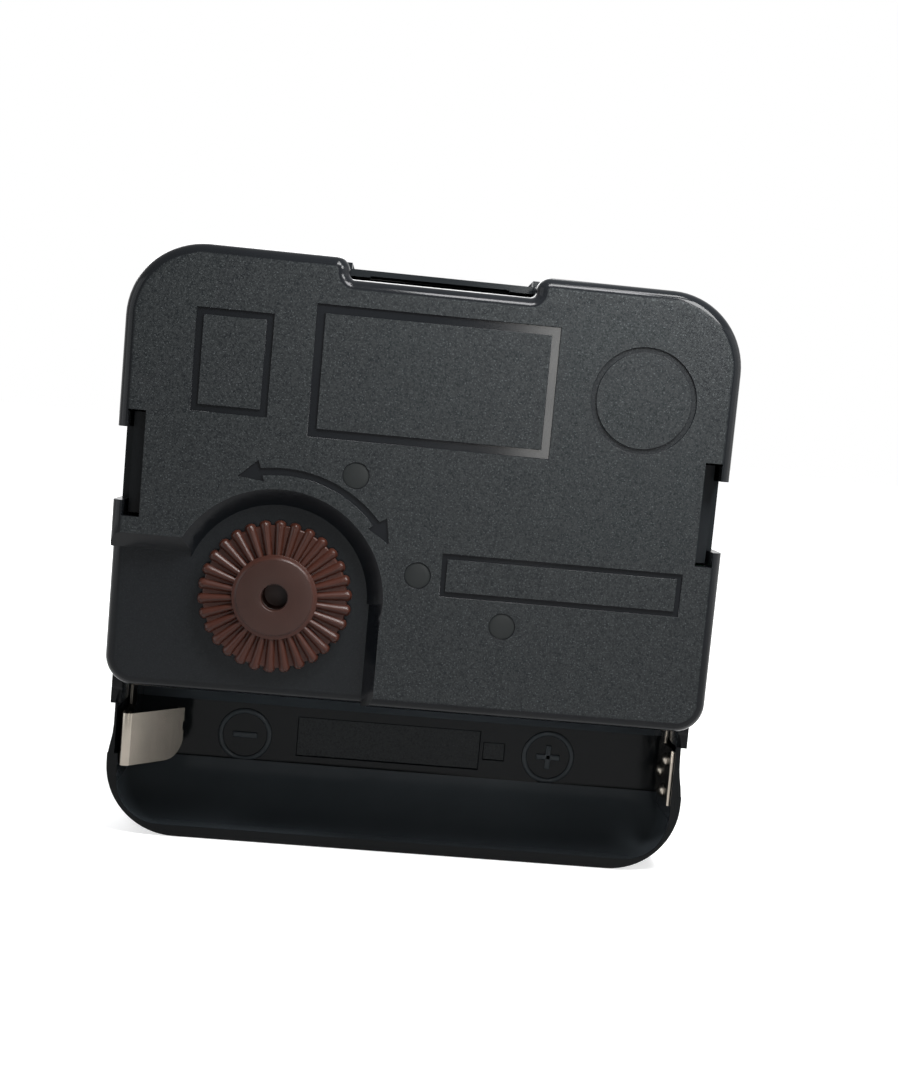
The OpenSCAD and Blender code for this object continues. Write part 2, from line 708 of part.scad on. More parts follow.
module middle_plate() color([0.93, 0.93, 0.90]) placed() {
    difference() {
        union() {
            block(plate_x0, plate_x1, plate_step_y, plate_y1, mid_z, mid_top_z);
            block(plate_step_x, plate_x1, plate_y0, plate_step_y + over, mid_z, mid_top_z);
            block(plate_top_x, plate_x1, plate_y1 - over, stator_top_y, mid_z, mid_top_z);
            post(rotor_x, stator_top_y - leg_w / 2, mid_z, stator_z, boss_r);
            post(rotor_x, stator_low_y + leg_w / 2, mid_z, stator_z, boss_r);
        }
        post(0, 0, mid_z - over, mid_top_z + over, second_top_r + fit);
        post(third_x, third_y, mid_z - over, mid_top_z + over, boss_r + 2 * gap_z);
        post(inter_x, inter_y, mid_z - over, mid_top_z + over, pivot_r + fit);
        post(rotor_x, rotor_y, mid_z - over, mid_top_z + over, pivot_r + fit);
    }
}

module circuit_board() color([0.12, 0.38, 0.20]) placed() {
    difference() {
        block(board_x0, board_x1, board_y0, board_y1, board_z, board_z + board_t);
        post(coil_x, stator_low_y + leg_w / 2, board_z - over, case_t, boss_r + gap_z / 2);
    }
}

module chip_cap() color([0.05, 0.05, 0.05]) placed() {
    cap_r = 2.1;
    cap_top_r = 1.26;
    cap_h = 1;
    translate([board_x0 + chip_in, board_y0 + chip_up, board_z + board_t])
        cylinder(h = cap_h, r1 = cap_r, r2 = cap_top_r);
}

module quartz_crystal() color([0.78, 0.79, 0.80]) placed() {
    can_r = 1;
    can_len = 6;
    lead_r = 0.15;
    lead_len = 1.5;
    top_z = board_z + board_t;
    translate([board_x0 + crystal_in, board_y0 + crystal_up, top_z + can_r]) rotate([-90, 0, 0]) {
        cylinder(h = can_len, r = can_r);
        for (s = [-1, 1]) translate([s * can_r / 2, 0, -lead_len])
            cylinder(h = lead_len + lead_r, r = lead_r);
    }
}

// Bobbin with round end plates; its hole fits the core.
module coil_bobbin() color([0.90, 0.90, 0.86]) placed() {
    len = coil_top_y - coil_low_y;
    difference() {
        translate([coil_x, coil_low_y, coil_z]) rotate([-90, 0, 0]) {
            cylinder(h = len, r = tube_r);
            cylinder(h = end_t, r = bobbin_r);
            translate([0, 0, len - end_t]) cylinder(h = end_t, r = bobbin_r);
        }
        core_bar(over);
    }
}

module coil_winding() color([0.72, 0.36, 0.16]) placed() {
    len = coil_top_y - coil_low_y - 2 * end_t;
    translate([coil_x, coil_low_y + end_t, coil_z]) rotate([-90, 0, 0]) difference() {
        cylinder(h = len, r = winding_r);
        translate([0, 0, -over]) cylinder(h = len + 2 * over, r = tube_r);
    }
}

module core_bar(extra) {
    block(coil_x - core_w / 2, coil_x + core_w / 2, stator_low_y - extra, stator_top_y + extra,
          stator_z + lamination_t, stator_z + 2 * lamination_t);
}

module coil_core() color([0.55, 0.56, 0.58]) placed() core_bar(0);

module stator() color([0.55, 0.56, 0.58]) placed() {
    right = coil_x + core_w / 2;
    left = rotor_x - bar_w / 2;
    z1 = stator_z + lamination_t;
    slot = 0.8;
    neck_in = 0.35;
    neck_x = stator_plate_r - neck_in;
    difference() {
        union() {
            block(left, rotor_x + bar_w / 2, stator_low_y, stator_top_y, stator_z, z1);
            block(left, right, stator_low_y, stator_low_y + leg_w, stator_z, z1);
            block(left, right, stator_top_y - leg_w, stator_top_y, stator_z, z1);
            post(rotor_x, rotor_y, stator_z, z1, stator_plate_r);
        }
        post(rotor_x, rotor_y, stator_z - over, z1 + over, stator_hole_r);
        // narrow necks beside the rotor's hole
        for (s = [-1, 1])
            block(rotor_x + s * neck_x - slot / 2, rotor_x + s * neck_x + slot / 2,
                  rotor_y - gap_z, rotor_y + gap_z, stator_z - over, z1 + over);
    }
}

// Fixed strip from the negative spring along the walls to the circuit board.
module negative_strip() color([0.80, 0.76, 0.66]) placed() {
    wall_x = -bay_x + contact_gap;
    board_top = board_z + board_t;
    run_y = -divider_y + contact_gap;
    strip_in = 1.5;
    strip_low_z = tail_z0 + 1;
    run_z = minute_z + wheel_t + gap_z;
    block(wall_x, wall_x + contact_t, -spring_low_y, -spring_top_y,
          strip_low_z, spring_z - spring_bend_r - 2 * contact_gap);
    block(wall_x, wall_x + contact_t, -spring_top_y - over, run_y + contact_t, tail_z0, tail_z1);
    block(wall_x, board_x0 + strip_in, run_y, run_y + contact_t, run_z, tail_z1);
    block(board_x0 + tongue_in, board_x0 + strip_in, run_y, run_y + strip_in,
          board_top, board_top + contact_t);
}

// Sprung leaf that the cell's flat end presses back.
module negative_spring() color([0.80, 0.76, 0.66]) placed() {
    wide = spring_low_y - spring_top_y;
    slot_in = 0.2;
    slot_low = 1.4;
    slot_w = 0.9;
    translate([-spring_x, -spring_top_y, spring_z]) rotate([90, 0, 0]) difference() {
        union() {
            cylinder(h = wide, r = spring_bend_r);
            rotate([0, 0, spring_lean - 90]) {
                translate([0, spring_bend_r - contact_t, 0]) cube([spring_len, contact_t, wide]);
                translate([spring_len, spring_bend_r - spring_curl_r, 0])
                    cylinder(h = wide, r = spring_curl_r);
            }
        }
        rotate([0, 0, spring_lean - 90]) translate([spring_len - slot_in, 0, slot_low])
            cube([spring_len, 2 * spring_curl_r, slot_w]);
    }
}

// Plate at the right end wall with three domes, and its tail to the circuit board.
module positive_contact() color([0.80, 0.76, 0.66]) placed() {
    x1 = bay_x - contact_gap;
    x0 = x1 - contact_t;
    dome_r = 0.75;
    dome_h = 0.36;
    dome_up = 1.1;
    dome_y = dome_up - cell_y;
    dome_drop = 0.9;
    dome_z = cell_z - dome_drop;
    dome_step = 1.6;
    dome_low = 1.4;
    foot_w = 1;
    board_top = board_z + board_t;
    for (d = [[dome_y + dome_step, dome_z], [dome_y, dome_z - dome_low],
              [dome_y - dome_step, dome_z]])
        translate([x0 + contact_gap, d[0], d[1]]) rotate([0, -90, 0])
            cylinder(h = dome_h + contact_gap, r1 = dome_r, r2 = dome_r / 2);
    block(x0, x1, -contact_low_y, -strip_top_y - 2 * contact_gap, contact_low_z, spring_z);
    block(x0, x1, -strip_top_y - over, -tail_end_y, tail_z0, tail_z1);
    block(board_x1 - dome_step, x1, -tail_end_y - foot_w, -tail_end_y,
          board_top, board_top + contact_t);
}

module setting_knob() color([0.55, 0.33, 0.24]) placed() {
    knob_m = 2 * knob_a / (knob_n + minute_n);
    minute_phase = motion_dir + 180 + 180 / minute_n;
    phase = motion_to_knob + 180 - (minute_n / knob_n) * (minute_phase - motion_to_knob)
            + 180 / knob_n;
    translate([-knob_x, -knob_y, 0]) {
        difference() {
            union() {
                translate([0, 0, knob_low_z])
                    cylinder(h = knob_top_z - knob_low_z - rib_drop, r = knob_web_r);
                translate([0, 0, knob_low_z])
                    cylinder(h = knob_top_z - knob_low_z, r = knob_hub_r);
                intersection() {
                    for (i = [0 : knob_ribs - 1]) rotate([0, 0, (i + 0.5) * 360 / knob_ribs])
                        translate([knob_hub_r - over, 0, knob_top_z - rib_drop / 2 - rib_r])
                        rotate([0, 90, 0]) cylinder(h = knob_r - knob_hub_r + over, r = rib_r);
                    translate([0, 0, knob_low_z]) cylinder(h = case_t, r = knob_r + over);
                }
                translate([0, 0, knob_pin_z]) cylinder(h = knob_low_z - knob_pin_z + over, r = stem_r);
                translate([0, 0, stem_low_z]) cylinder(h = knob_pin_z - stem_low_z + over, r = stem_pivot_r);
            }
            translate([0, 0, knob_hole_z]) cylinder(h = case_t, r = knob_hole_r);
        }
        translate([0, 0, knob_pin_z]) toothed(knob_n, knob_m, phase, wheel_t + gap_z);
    }
}

module minute_wheel() color([0.92, 0.92, 0.88]) placed() {
    wheel_m = 2 * motion_a / (cannon_n + minute_n);
    pin_m = 2 * motion_a / (minute_pin_n + hour_n);
    back = motion_dir + 180;
    translate([motion_x, motion_y, 0]) difference() {
        union() {
            translate([0, 0, minute_z]) toothed(minute_n, wheel_m, back + 180 / minute_n, wheel_t);
            translate([0, 0, minute_pin_z])
                toothed(minute_pin_n, pin_m, back, minute_z - minute_pin_z);
        }
        translate([0, 0, front_t]) cylinder(h = case_t, r = motion_post_r + fit);
    }
}

module minute_tube() color([0.80, 0.66, 0.38]) placed() {
    m = 2 * motion_a / (cannon_n + minute_n);
    difference() {
        union() {
            post(0, 0, -minute_len, cannon_z, minute_tube_r);
            post(0, 0, -hour_len - seat_room, cannon_z, minute_body_r);
            translate([0, 0, cannon_z]) toothed(cannon_n, m, motion_dir, cannon_t);
            post(0, 0, neck_z - over, neck_end_z, neck_r);
        }
        post(0, 0, -minute_len - over, case_t, second_body_r + fit);
    }
}

module hour_wheel() color([0.92, 0.92, 0.88]) placed() {
    m = 2 * motion_a / (minute_pin_n + hour_n);
    difference() {
        union() {
            post(0, 0, -hour_len, hour_z + over, hour_tube_r);
            post(0, 0, -thread_len - seat_room, hour_z + over, hour_body_r);
            translate([0, 0, hour_z]) toothed(hour_n, m, motion_dir + 180 / hour_n, wheel_t);
        }
        post(0, 0, -hour_len - over, case_t, minute_body_r + fit);
    }
}

module centre_wheel() color([0.92, 0.92, 0.88]) placed() {
    m = 2 * third_a / (third_pin_n + centre_n);
    difference() {
        translate([0, 0, centre_z]) toothed(centre_n, m, third_dir + 180 / centre_n, wheel_t);
        post(0, 0, centre_z - over, case_t, neck_r + fit);
        translate([0, 0, centre_z]) spokes(neck_r + wheel_t, m * centre_n / 2, 5, wheel_t);
    }
}

// Thin washer with three arms that lets the minute tube slip in its wheel.
module clutch_spring() color([0.76, 0.77, 0.78]) placed() {
    arm_len = 3.4;
    arm_w = 0.9;
    difference() {
        translate([0, 0, clutch_z]) {
            cylinder(h = clutch_t, r = neck_r * 1.7);
            for (i = [0 : 2]) rotate([0, 0, i * 120]) translate([0, -arm_w / 2, 0])
                cube([arm_len, arm_w, clutch_t]);
        }
        post(0, 0, clutch_z - over, case_t, neck_r + fit);
    }
}

module third_wheel() color([0.92, 0.92, 0.88]) placed() {
    pin_m = 2 * third_a / (third_pin_n + centre_n);
    wheel_m = 2 * third_a / (second_pin_n + third_n);
    back = third_dir + 180;
    rim_r = wheel_m * third_n / 2;
    translate([third_x, third_y, 0]) {
        post(0, 0, front_t + over + pivot_room, third_pin_z, pivot_r);
        translate([0, 0, third_pin_z]) toothed(third_pin_n, pin_m, back, mid_z - gap_z / 2 - third_pin_z);
        post(0, 0, mid_z - gap_z, boss_z - gap_z, arbor_r);
        difference() {
            translate([0, 0, third_z]) toothed(third_n, wheel_m, back + 180 / third_n, wheel_t);
            translate([0, 0, third_z]) spokes(arbor_r + wheel_t, rim_r, 5, wheel_t);
        }
        post(0, 0, boss_z - gap_z, boss_z + pivot_in, pivot_r);
    }
}

module second_wheel() color([0.92, 0.92, 0.88]) placed() {
    pin_m = 2 * third_a / (second_pin_n + third_n);
    wheel_m = 2 * inter_a / (inter_pin_n + second_n);
    rim_r = wheel_m * second_n / 2;
    difference() {
        union() {
            translate([0, 0, second_pin_z]) toothed(second_pin_n, pin_m, third_dir, second_z - second_pin_z);
            difference() {
                translate([0, 0, second_z]) toothed(second_n, wheel_m, inter_dir + 180 / second_n, wheel_t);
                translate([0, 0, second_z]) spokes(arbor_r + 2 * wheel_t, rim_r, 5, wheel_t);
            }
            post(0, 0, second_z, second_z + 2 * wheel_t, arbor_r * 2);
        }
        post(0, 0, second_pin_z - over, case_t, second_top_r);
    }
}

module second_arbor() color([0.74, 0.75, 0.77]) placed() {
    post(0, 0, -second_len, 0, second_r);
    post(0, 0, -minute_len - seat_room, mid_z - gap_z, second_body_r);
    post(0, 0, 0, boss_z + pivot_in, second_top_r);
}

module intermediate_wheel() color([0.92, 0.92, 0.88]) placed() {
    pin_m = 2 * inter_a / (inter_pin_n + second_n);
    wheel_m = 2 * rotor_a / (rotor_pin_n + inter_n);
    low_z = second_z - gap_z;
    translate([inter_x, inter_y, 0]) {
        post(0, 0, mid_z, mid_top_z + gap_z / 3, pivot_r);
        post(0, 0, mid_top_z + gap_z / 3, low_z, arbor_r);
        translate([0, 0, low_z]) toothed(inter_pin_n, pin_m, inter_dir + 180, inter_z - low_z);
        translate([0, 0, inter_z]) toothed(inter_n, wheel_m, rotor_dir + 180 / inter_n, wheel_t);
        post(0, 0, inter_z + wheel_t, boss_z + pivot_in, pivot_r);
    }
}

module rotor_pinion() color([0.88, 0.88, 0.84]) placed() {
    m = 2 * rotor_a / (rotor_pin_n + inter_n);
    hub_r = 0.9;
    collar_r = 1.6;
    pin_z = inter_z - gap_z;
    translate([rotor_x, rotor_y, 0]) {
        post(0, 0, mid_z, mid_top_z + gap_z / 3, pivot_r);
        post(0, 0, mid_top_z + gap_z / 3, magnet_z, collar_r);
        post(0, 0, magnet_z, pin_z, hub_r);
        translate([0, 0, pin_z]) toothed(rotor_pin_n, m, rotor_dir + 180, wheel_t + 2 * gap_z);
        post(0, 0, pin_z + wheel_t + 2 * gap_z, boss_z + pivot_in, pivot_r);
    }
}

module rotor_magnet() color([0.24, 0.24, 0.26]) placed() {
    hub_r = 0.9;
    translate([rotor_x, rotor_y, magnet_z]) difference() {
        cylinder(h = magnet_t, r = magnet_r);
        translate([0, 0, -over]) cylinder(h = magnet_t + 2 * over, r = hub_r);
    }
}

front_case();
threaded_bushing();
rear_cover();
middle_plate();
circuit_board();
chip_cap();
quartz_crystal();
coil_bobbin();
coil_winding();
coil_core();
stator();
negative_strip();
positive_contact();
negative_spring();
setting_knob();
minute_wheel();
minute_tube();
hour_wheel();
centre_wheel();
clutch_spring();
third_wheel();
second_wheel();
second_arbor();
intermediate_wheel();
rotor_pinion();
rotor_magnet();
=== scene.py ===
"""Looks of a quartz clock movement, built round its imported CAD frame.

Row frame, metres: +Z is twelve o'clock, +Y the rear with the knob, -Y the hands' side.
Places and sizes below are millimetres in a rear view (x right, y up, z towards the rear), and
at() turns them into the row frame. Bevel widths, bump depths, tolerances, the floor, the lamps
and the camera are in metres.
"""

import math

import bmesh
import bpy
from mathutils import Matrix, Vector


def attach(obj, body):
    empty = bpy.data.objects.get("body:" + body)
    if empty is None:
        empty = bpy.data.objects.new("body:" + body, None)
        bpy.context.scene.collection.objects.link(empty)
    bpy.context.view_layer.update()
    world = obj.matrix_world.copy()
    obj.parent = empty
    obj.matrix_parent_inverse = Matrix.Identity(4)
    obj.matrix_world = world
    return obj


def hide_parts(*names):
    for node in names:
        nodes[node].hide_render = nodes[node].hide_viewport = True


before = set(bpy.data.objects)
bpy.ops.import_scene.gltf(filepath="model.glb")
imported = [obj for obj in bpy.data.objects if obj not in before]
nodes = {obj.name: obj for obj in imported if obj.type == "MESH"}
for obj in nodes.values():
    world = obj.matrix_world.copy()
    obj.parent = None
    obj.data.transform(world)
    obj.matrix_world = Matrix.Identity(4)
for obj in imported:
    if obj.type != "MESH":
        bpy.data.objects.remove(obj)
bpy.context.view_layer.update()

MM = 1000


def at(x, y, z):
    """Rear-view millimetres to the row frame in metres."""
    return Vector((-x / MM, z / MM, y / MM))


def rear_view(p):
    """A point of the row frame in rear-view millimetres."""
    return -p.x * MM, p.z * MM, p.y * MM


# Materials

# Most of a noise's values lie between these.
MOST_NOISE = (0.3, 0.7)


class Nodes:
    """A small helper that builds one procedural material."""

    def __init__(self, name):
        self.mat = bpy.data.materials.new(name)
        self.mat.use_nodes = True
        self.tree = self.mat.node_tree
        self.tree.nodes.clear()
        self.out = self.add("ShaderNodeOutputMaterial")
        self.bsdf = self.add("ShaderNodeBsdfPrincipled")
        self.link(self.bsdf.outputs["BSDF"], self.out.inputs["Surface"])
        self.coord = self.add("ShaderNodeTexCoord")

    def add(self, kind, **values):
        node = self.tree.nodes.new(kind)
        for key, value in values.items():
            setattr(node, key, value)
        return node

    def link(self, a, b):
        self.tree.links.new(a, b)

    def feed(self, socket, value):
        """Gives a socket a plain number or a link."""
        if isinstance(value, (int, float)):
            socket.default_value = value
        else:
            self.link(value, socket)

    def scaled(self, x=1.0, y=1.0, z=1.0):
        """The place on the object, stretched along its axes."""
        node = self.add("ShaderNodeMapping")
        node.inputs["Scale"].default_value = (x, y, z)
        self.link(self.coord.outputs["Object"], node.inputs["Vector"])
        return node.outputs["Vector"]

    def noise(self, vector, scale, detail=2.0, rough=0.5):
        node = self.add("ShaderNodeTexNoise")
        node.inputs["Scale"].default_value = scale
        node.inputs["Detail"].default_value = detail
        node.inputs["Roughness"].default_value = rough
        self.link(vector, node.inputs["Vector"])
        return node.outputs["Fac"]

    def ramp(self, value, low, high, a=0.0, b=1.0):
        """a where the value is low or less, b where it is high or more, and even between them."""
        node = self.add("ShaderNodeMapRange")
        node.clamp = True
        for key, v in (("From Min", low), ("From Max", high), ("To Min", a), ("To Max", b)):
            node.inputs[key].default_value = v
        self.link(value, node.inputs["Value"])
        return node.outputs["Result"]

    def math(self, op, a, b):
        node = self.add("ShaderNodeMath", operation=op)
        self.feed(node.inputs[0], a)
        self.feed(node.inputs[1], b)
        return node.outputs[0]

    def vector(self, op, a, b=None, scale=None):
        """One step of vector arithmetic, with a plain vector b or a scale."""
        node = self.add("ShaderNodeVectorMath", operation=op)
        self.link(a, node.inputs[0])
        if b is not None:
            node.inputs[1].default_value = b
        if scale is not None:
            self.feed(node.inputs["Scale"], scale)
        return node.outputs

    def split(self, vector):
        """The three numbers of a vector."""
        node = self.add("ShaderNodeSeparateXYZ")
        self.link(vector, node.inputs[0])
        return node.outputs

    def inside(self, box):
        """1 within a rear-view box in millimetres, (x0, x1, y0, y1, z0, z1), and 0 outside it."""
        x0, x1, y0, y1, z0, z1 = box
        middle = at((x0 + x1) / 2, (y0 + y1) / 2, (z0 + z1) / 2)
        half = [(high - low) / (2 * MM) for low, high in ((x0, x1), (z0, z1), (y0, y1))]
        offset = self.vector("SUBTRACT", self.coord.outputs["Object"], middle)[0]
        share = self.vector("DIVIDE", offset, half)[0]
        sides = self.split(self.vector("ABSOLUTE", share)[0])
        furthest = self.math("MAXIMUM", self.math("MAXIMUM", sides[0], sides[1]), sides[2])
        return self.math("LESS_THAN", furthest, 1.0)

    def mix(self, factor, a, b):
        """The colour a where the factor is 0 and b where it is 1."""
        node = self.add("ShaderNodeMix", data_type="RGBA")
        self.link(factor, node.inputs["Factor"])
        for key, v in (("A", a), ("B", b)):
            socket = [s for s in node.inputs if s.name == key and s.type == "RGBA"][0]
            if isinstance(v, tuple):
                socket.default_value = (*v, 1.0)
            else:
                self.link(v, socket)
        return [s for s in node.outputs if s.type == "RGBA"][0]

    def mix_numbers(self, factor, a, b):
        """The number a where the factor is 0 and b where it is 1."""
        node = self.add("ShaderNodeMix", data_type="FLOAT")
        for i, v in ((0, factor), (2, a), (3, b)):
            self.link(v, node.inputs[i])
        return node.outputs[0]

    def bump(self, height, distance, strength):
        node = self.add("ShaderNodeBump")
        node.inputs["Distance"].default_value = distance
        self.feed(node.inputs["Strength"], strength)
        self.link(height, node.inputs["Height"])
        return node.outputs["Normal"]

    def finish(self, **links):
        """Feeds the shader's sockets and gives the material."""
        names = {"color": "Base Color", "rough": "Roughness", "normal": "Normal",
                 "metal": "Metallic", "gloss": "Specular IOR Level"}
        for key, v in links.items():
            self.feed(self.bsdf.inputs[names[key]], v)
        return self.mat


def spark_plastic(name, smooth, grain, gloss, grainy_boxes, pale_boxes=(), painted_light=()):
    """Black moulded plastic, polished, with a fine spark grain inside boxes, (box, how grainy), on
    the faces that look straight to the rear or the front. smooth and grain are a darker and a paler
    colour each. pale_boxes gives a grainy box another share of the grain's colour, and the last
    argument paints light and shade: it multiplies the polished colour inside boxes, as painted light
    above 1 and painted shade below 1."""
    m = Nodes(name)
    p = m.scaled()
    facing = m.split(m.coord.outputs["Normal"])[1]
    square_on = m.ramp(m.math("ABSOLUTE", facing, 0.0), low=0.97, high=0.995)

    def share(boxes):
        """The greatest amount among the boxes that a point is in."""
        amounts = [m.math("MULTIPLY", m.inside(box), amount) for box, amount in boxes]
        most = amounts[0]
        for amount in amounts[1:]:
            most = m.math("MAXIMUM", most, amount)
        return m.math("MULTIPLY", square_on, most)

    grainy = share(grainy_boxes)
    pale = share(pale_boxes or grainy_boxes)
    fine = m.noise(p, scale=5600.0, detail=3.0, rough=0.65)
    coarse = m.noise(p, scale=2400.0, detail=2.0, rough=0.5)
    cloud = m.noise(p, scale=70.0, detail=3.0, rough=0.5)
    speck = m.ramp(m.noise(p, scale=7800.0, detail=1.0, rough=0.4), low=0.60, high=0.78)
    speck_gain = 2.6
    worn = m.mix(m.ramp(fine, low=0.38, high=0.62), *grain)
    worn = m.mix(m.ramp(coarse, low=0.35, high=0.65, b=0.35), worn, grain[1])
    worn = m.mix(speck, worn, tuple(c * speck_gain for c in grain[1]))
    plain = m.mix(m.ramp(cloud, *MOST_NOISE), *smooth)
    # Painted light and shade: each box multiplies the polished colour by its factor.
    for box, factor in painted_light:
        change = m.ramp(m.inside(box), low=0.0, high=1.0, a=1.0, b=factor)
        plain = m.vector("SCALE", plain, scale=change)[0]
    polished = m.ramp(cloud, *MOST_NOISE, a=0.10, b=0.18)
    sparked = m.ramp(fine, *MOST_NOISE, a=0.36, b=0.52)
    coarse_share = 0.6
    height = m.math("ADD", fine, m.math("MULTIPLY", coarse, coarse_share))
    grain_strength, skin_strength = 0.5, 0.01
    strength = m.math("ADD", m.math("MULTIPLY", grainy, grain_strength), skin_strength)
    return m.finish(color=m.mix(pale, plain, worn), rough=m.mix_numbers(grainy, polished, sparked),
                    normal=m.bump(height, distance=0.00004, strength=strength), gloss=gloss)


def moulded(name, low, high, rough=(0.35, 0.5), grain=0.00001, scale=900.0, gloss=0.4,
            shaded=None, ringed=None):
    """Plain moulded plastic with faint clouding and a fine uneven skin. shaded is (height, height,
    share): painted shade darkens the colour to that share below the first height, less up to the
    second, as in the hollows between ribs. ringed is (place, radius, radius, colour factors): the
    factors change the colour from the first radius outwards, and wholly from the second, round a line
    through the place that runs from front to rear."""
    m = Nodes(name)
    p = m.scaled()
    cloud = m.noise(p, scale=140.0, detail=3.0, rough=0.55)
    fine = m.noise(p, scale=scale, detail=3.0, rough=0.5)
    tone = m.mix(m.ramp(cloud, *MOST_NOISE), low, high)
    if ringed:
        centre, inner_r, outer_r, factors = ringed
        radius = m.vector("DISTANCE", m.scaled(1.0, 0.0, 1.0), at(*centre, 0))["Value"]
        outer_tone = m.vector("MULTIPLY", tone, factors)[0]
        tone = m.mix(m.ramp(radius, inner_r / MM, outer_r / MM), tone, outer_tone)
    # Painted shade: darker below the first height.
    if shaded:
        bottom, top, share = shaded
        height = m.split(m.coord.outputs["Object"])[1]
        deep = m.vector("SCALE", tone, scale=share)[0]
        tone = m.mix(m.ramp(height, bottom / MM, top / MM), deep, tone)
    return m.finish(color=tone, rough=m.ramp(cloud, *MOST_NOISE, *rough),
                    normal=m.bump(fine, grain, strength=0.6), gloss=gloss)


def metal(name, low, high, rough, stretch, scale, depth=0.000004):
    """Plated or bare metal with stretched fine scratches and faint tarnish."""
    m = Nodes(name)
    fine = m.noise(m.scaled(*stretch), scale=scale, detail=4.0, rough=0.6)
    cloud = m.noise(m.scaled(), scale=180.0, detail=3.0, rough=0.5)
    tone = m.mix(m.ramp(cloud, low=0.3, high=0.72), low, high)
    scratched = m.ramp(fine, 0.25, 0.75, *rough)
    return m.finish(color=tone, rough=scratched, metal=1.0, normal=m.bump(fine, depth, strength=0.5))


def wound(name, low, high):
    """Fine enamelled wire in close turns round the coil's length."""
    m = Nodes(name)
    wave = m.add("ShaderNodeTexWave", wave_type="BANDS", bands_direction="Z", wave_profile="SIN")
    wave.inputs["Scale"].default_value = 900.0
    wave.inputs["Distortion"].default_value = 0.4
    m.link(m.scaled(), wave.inputs["Vector"])
    turns = wave.outputs["Fac"]
    cloud = m.noise(m.scaled(), scale=300.0, detail=3.0, rough=0.5)
    tone = m.mix(m.ramp(turns, low=0.1, high=0.9), low, high)
    return m.finish(color=tone, rough=m.ramp(cloud, *MOST_NOISE, a=0.28, b=0.42),
                    normal=m.bump(turns, distance=0.00003, strength=0.8))


def board_finish(name):
    """Solder mask with faint copper tracks beneath it."""
    m = Nodes(name)
    p = m.scaled()
    brick = m.add("ShaderNodeTexBrick")
    brick.inputs["Scale"].default_value = 320.0
    brick.inputs["Mortar Size"].default_value = 0.06
    m.link(p, brick.inputs["Vector"])
    tracks = brick.outputs["Fac"]
    tone = m.mix(tracks, (0.012, 0.09, 0.035), (0.03, 0.19, 0.07))
    cloud = m.noise(p, scale=250.0, detail=2.0, rough=0.5)
    return m.finish(color=tone, rough=m.ramp(cloud, *MOST_NOISE, a=0.25, b=0.4),
                    normal=m.bump(tracks, distance=0.00002, strength=0.5))


KNOB = (-12.82, -3.16)
GRAINY_BLACK = ((0.0040, 0.0050, 0.0058), (0.0144, 0.0160, 0.0166))


def everywhere(low, high):
    """A box across the whole part between two heights."""
    reach = 29.0
    return (-reach, reach, -reach, reach, low, high)


COVER_FACE = everywhere(15.93, 16.1)
WELL_FLOOR = everywhere(14.5, 14.7)
RING_GROOVE = (13.5, 26.0, 12.0, 26.0, 15.8, 15.9)
cover_finish = spark_plastic(
    "cover_black",
    smooth=((0.0036, 0.0042, 0.0050), (0.0050, 0.0057, 0.0067)),
    grain=GRAINY_BLACK,
    gloss=0.08,
    grainy_boxes=[(COVER_FACE, 1.0), (WELL_FLOOR, 0.2), (RING_GROOVE, 1.0)],
    pale_boxes=[(COVER_FACE, 1.0), (WELL_FLOOR, 0.2), (RING_GROOVE, 0.45)],
)
TRAY_FRONT = everywhere(-0.1, 0.1)
TRAY_FLOOR = everywhere(0.6, 0.7)
# Boxes in the cell bay where painted light and shade change the polished colour.
BAY_STRIP = (-27.3, 27.3, -27.3, -12.0, 0.5, 0.95)
BAY_CRADLE = (-27.3, 27.3, -27.3, -12.0, 0.95, 9.2)
BAY_RIM = (-28.1, 28.1, -28.1, -12.0, 9.2, 9.4)
case_finish = spark_plastic(
    "case_black",
    smooth=((0.0065, 0.0078, 0.0088), (0.0090, 0.0104, 0.0116)),
    grain=GRAINY_BLACK,
    gloss=0.06,
    grainy_boxes=[(TRAY_FRONT, 1.0), (TRAY_FLOOR, 0.5)],
    # Painted shade on the bay's strip and rim, and painted light in its cradle.
    painted_light=[(BAY_STRIP, 0.55), (BAY_CRADLE, 2.5), (BAY_RIM, 0.3)],
)
knob_finish = moulded(
    "knob_brown",
    low=(0.0162, 0.0072, 0.0054),
    high=(0.0236, 0.0106, 0.0083),
    rough=(0.26, 0.38),
    scale=1500.0,
    gloss=0.12,
    # Painted shade, slight, darker towards the web between the ribs.
    shaded=(15.3, 15.7, 0.95),
    ringed=(KNOB, 3.45, 3.6, (1.16, 0.82, 0.68)),
)
mark_finish = moulded("round_mark_black", (0.0085, 0.0098, 0.0100), (0.0110, 0.0122, 0.0122),
                      rough=(0.3, 0.42), gloss=0.08)
nickel = metal("nickel_sheet", (0.150, 0.140, 0.118), (0.225, 0.200, 0.172), rough=(0.22, 0.27),
               stretch=(1.0, 1.0, 0.02), scale=2600.0, depth=0.0000001)
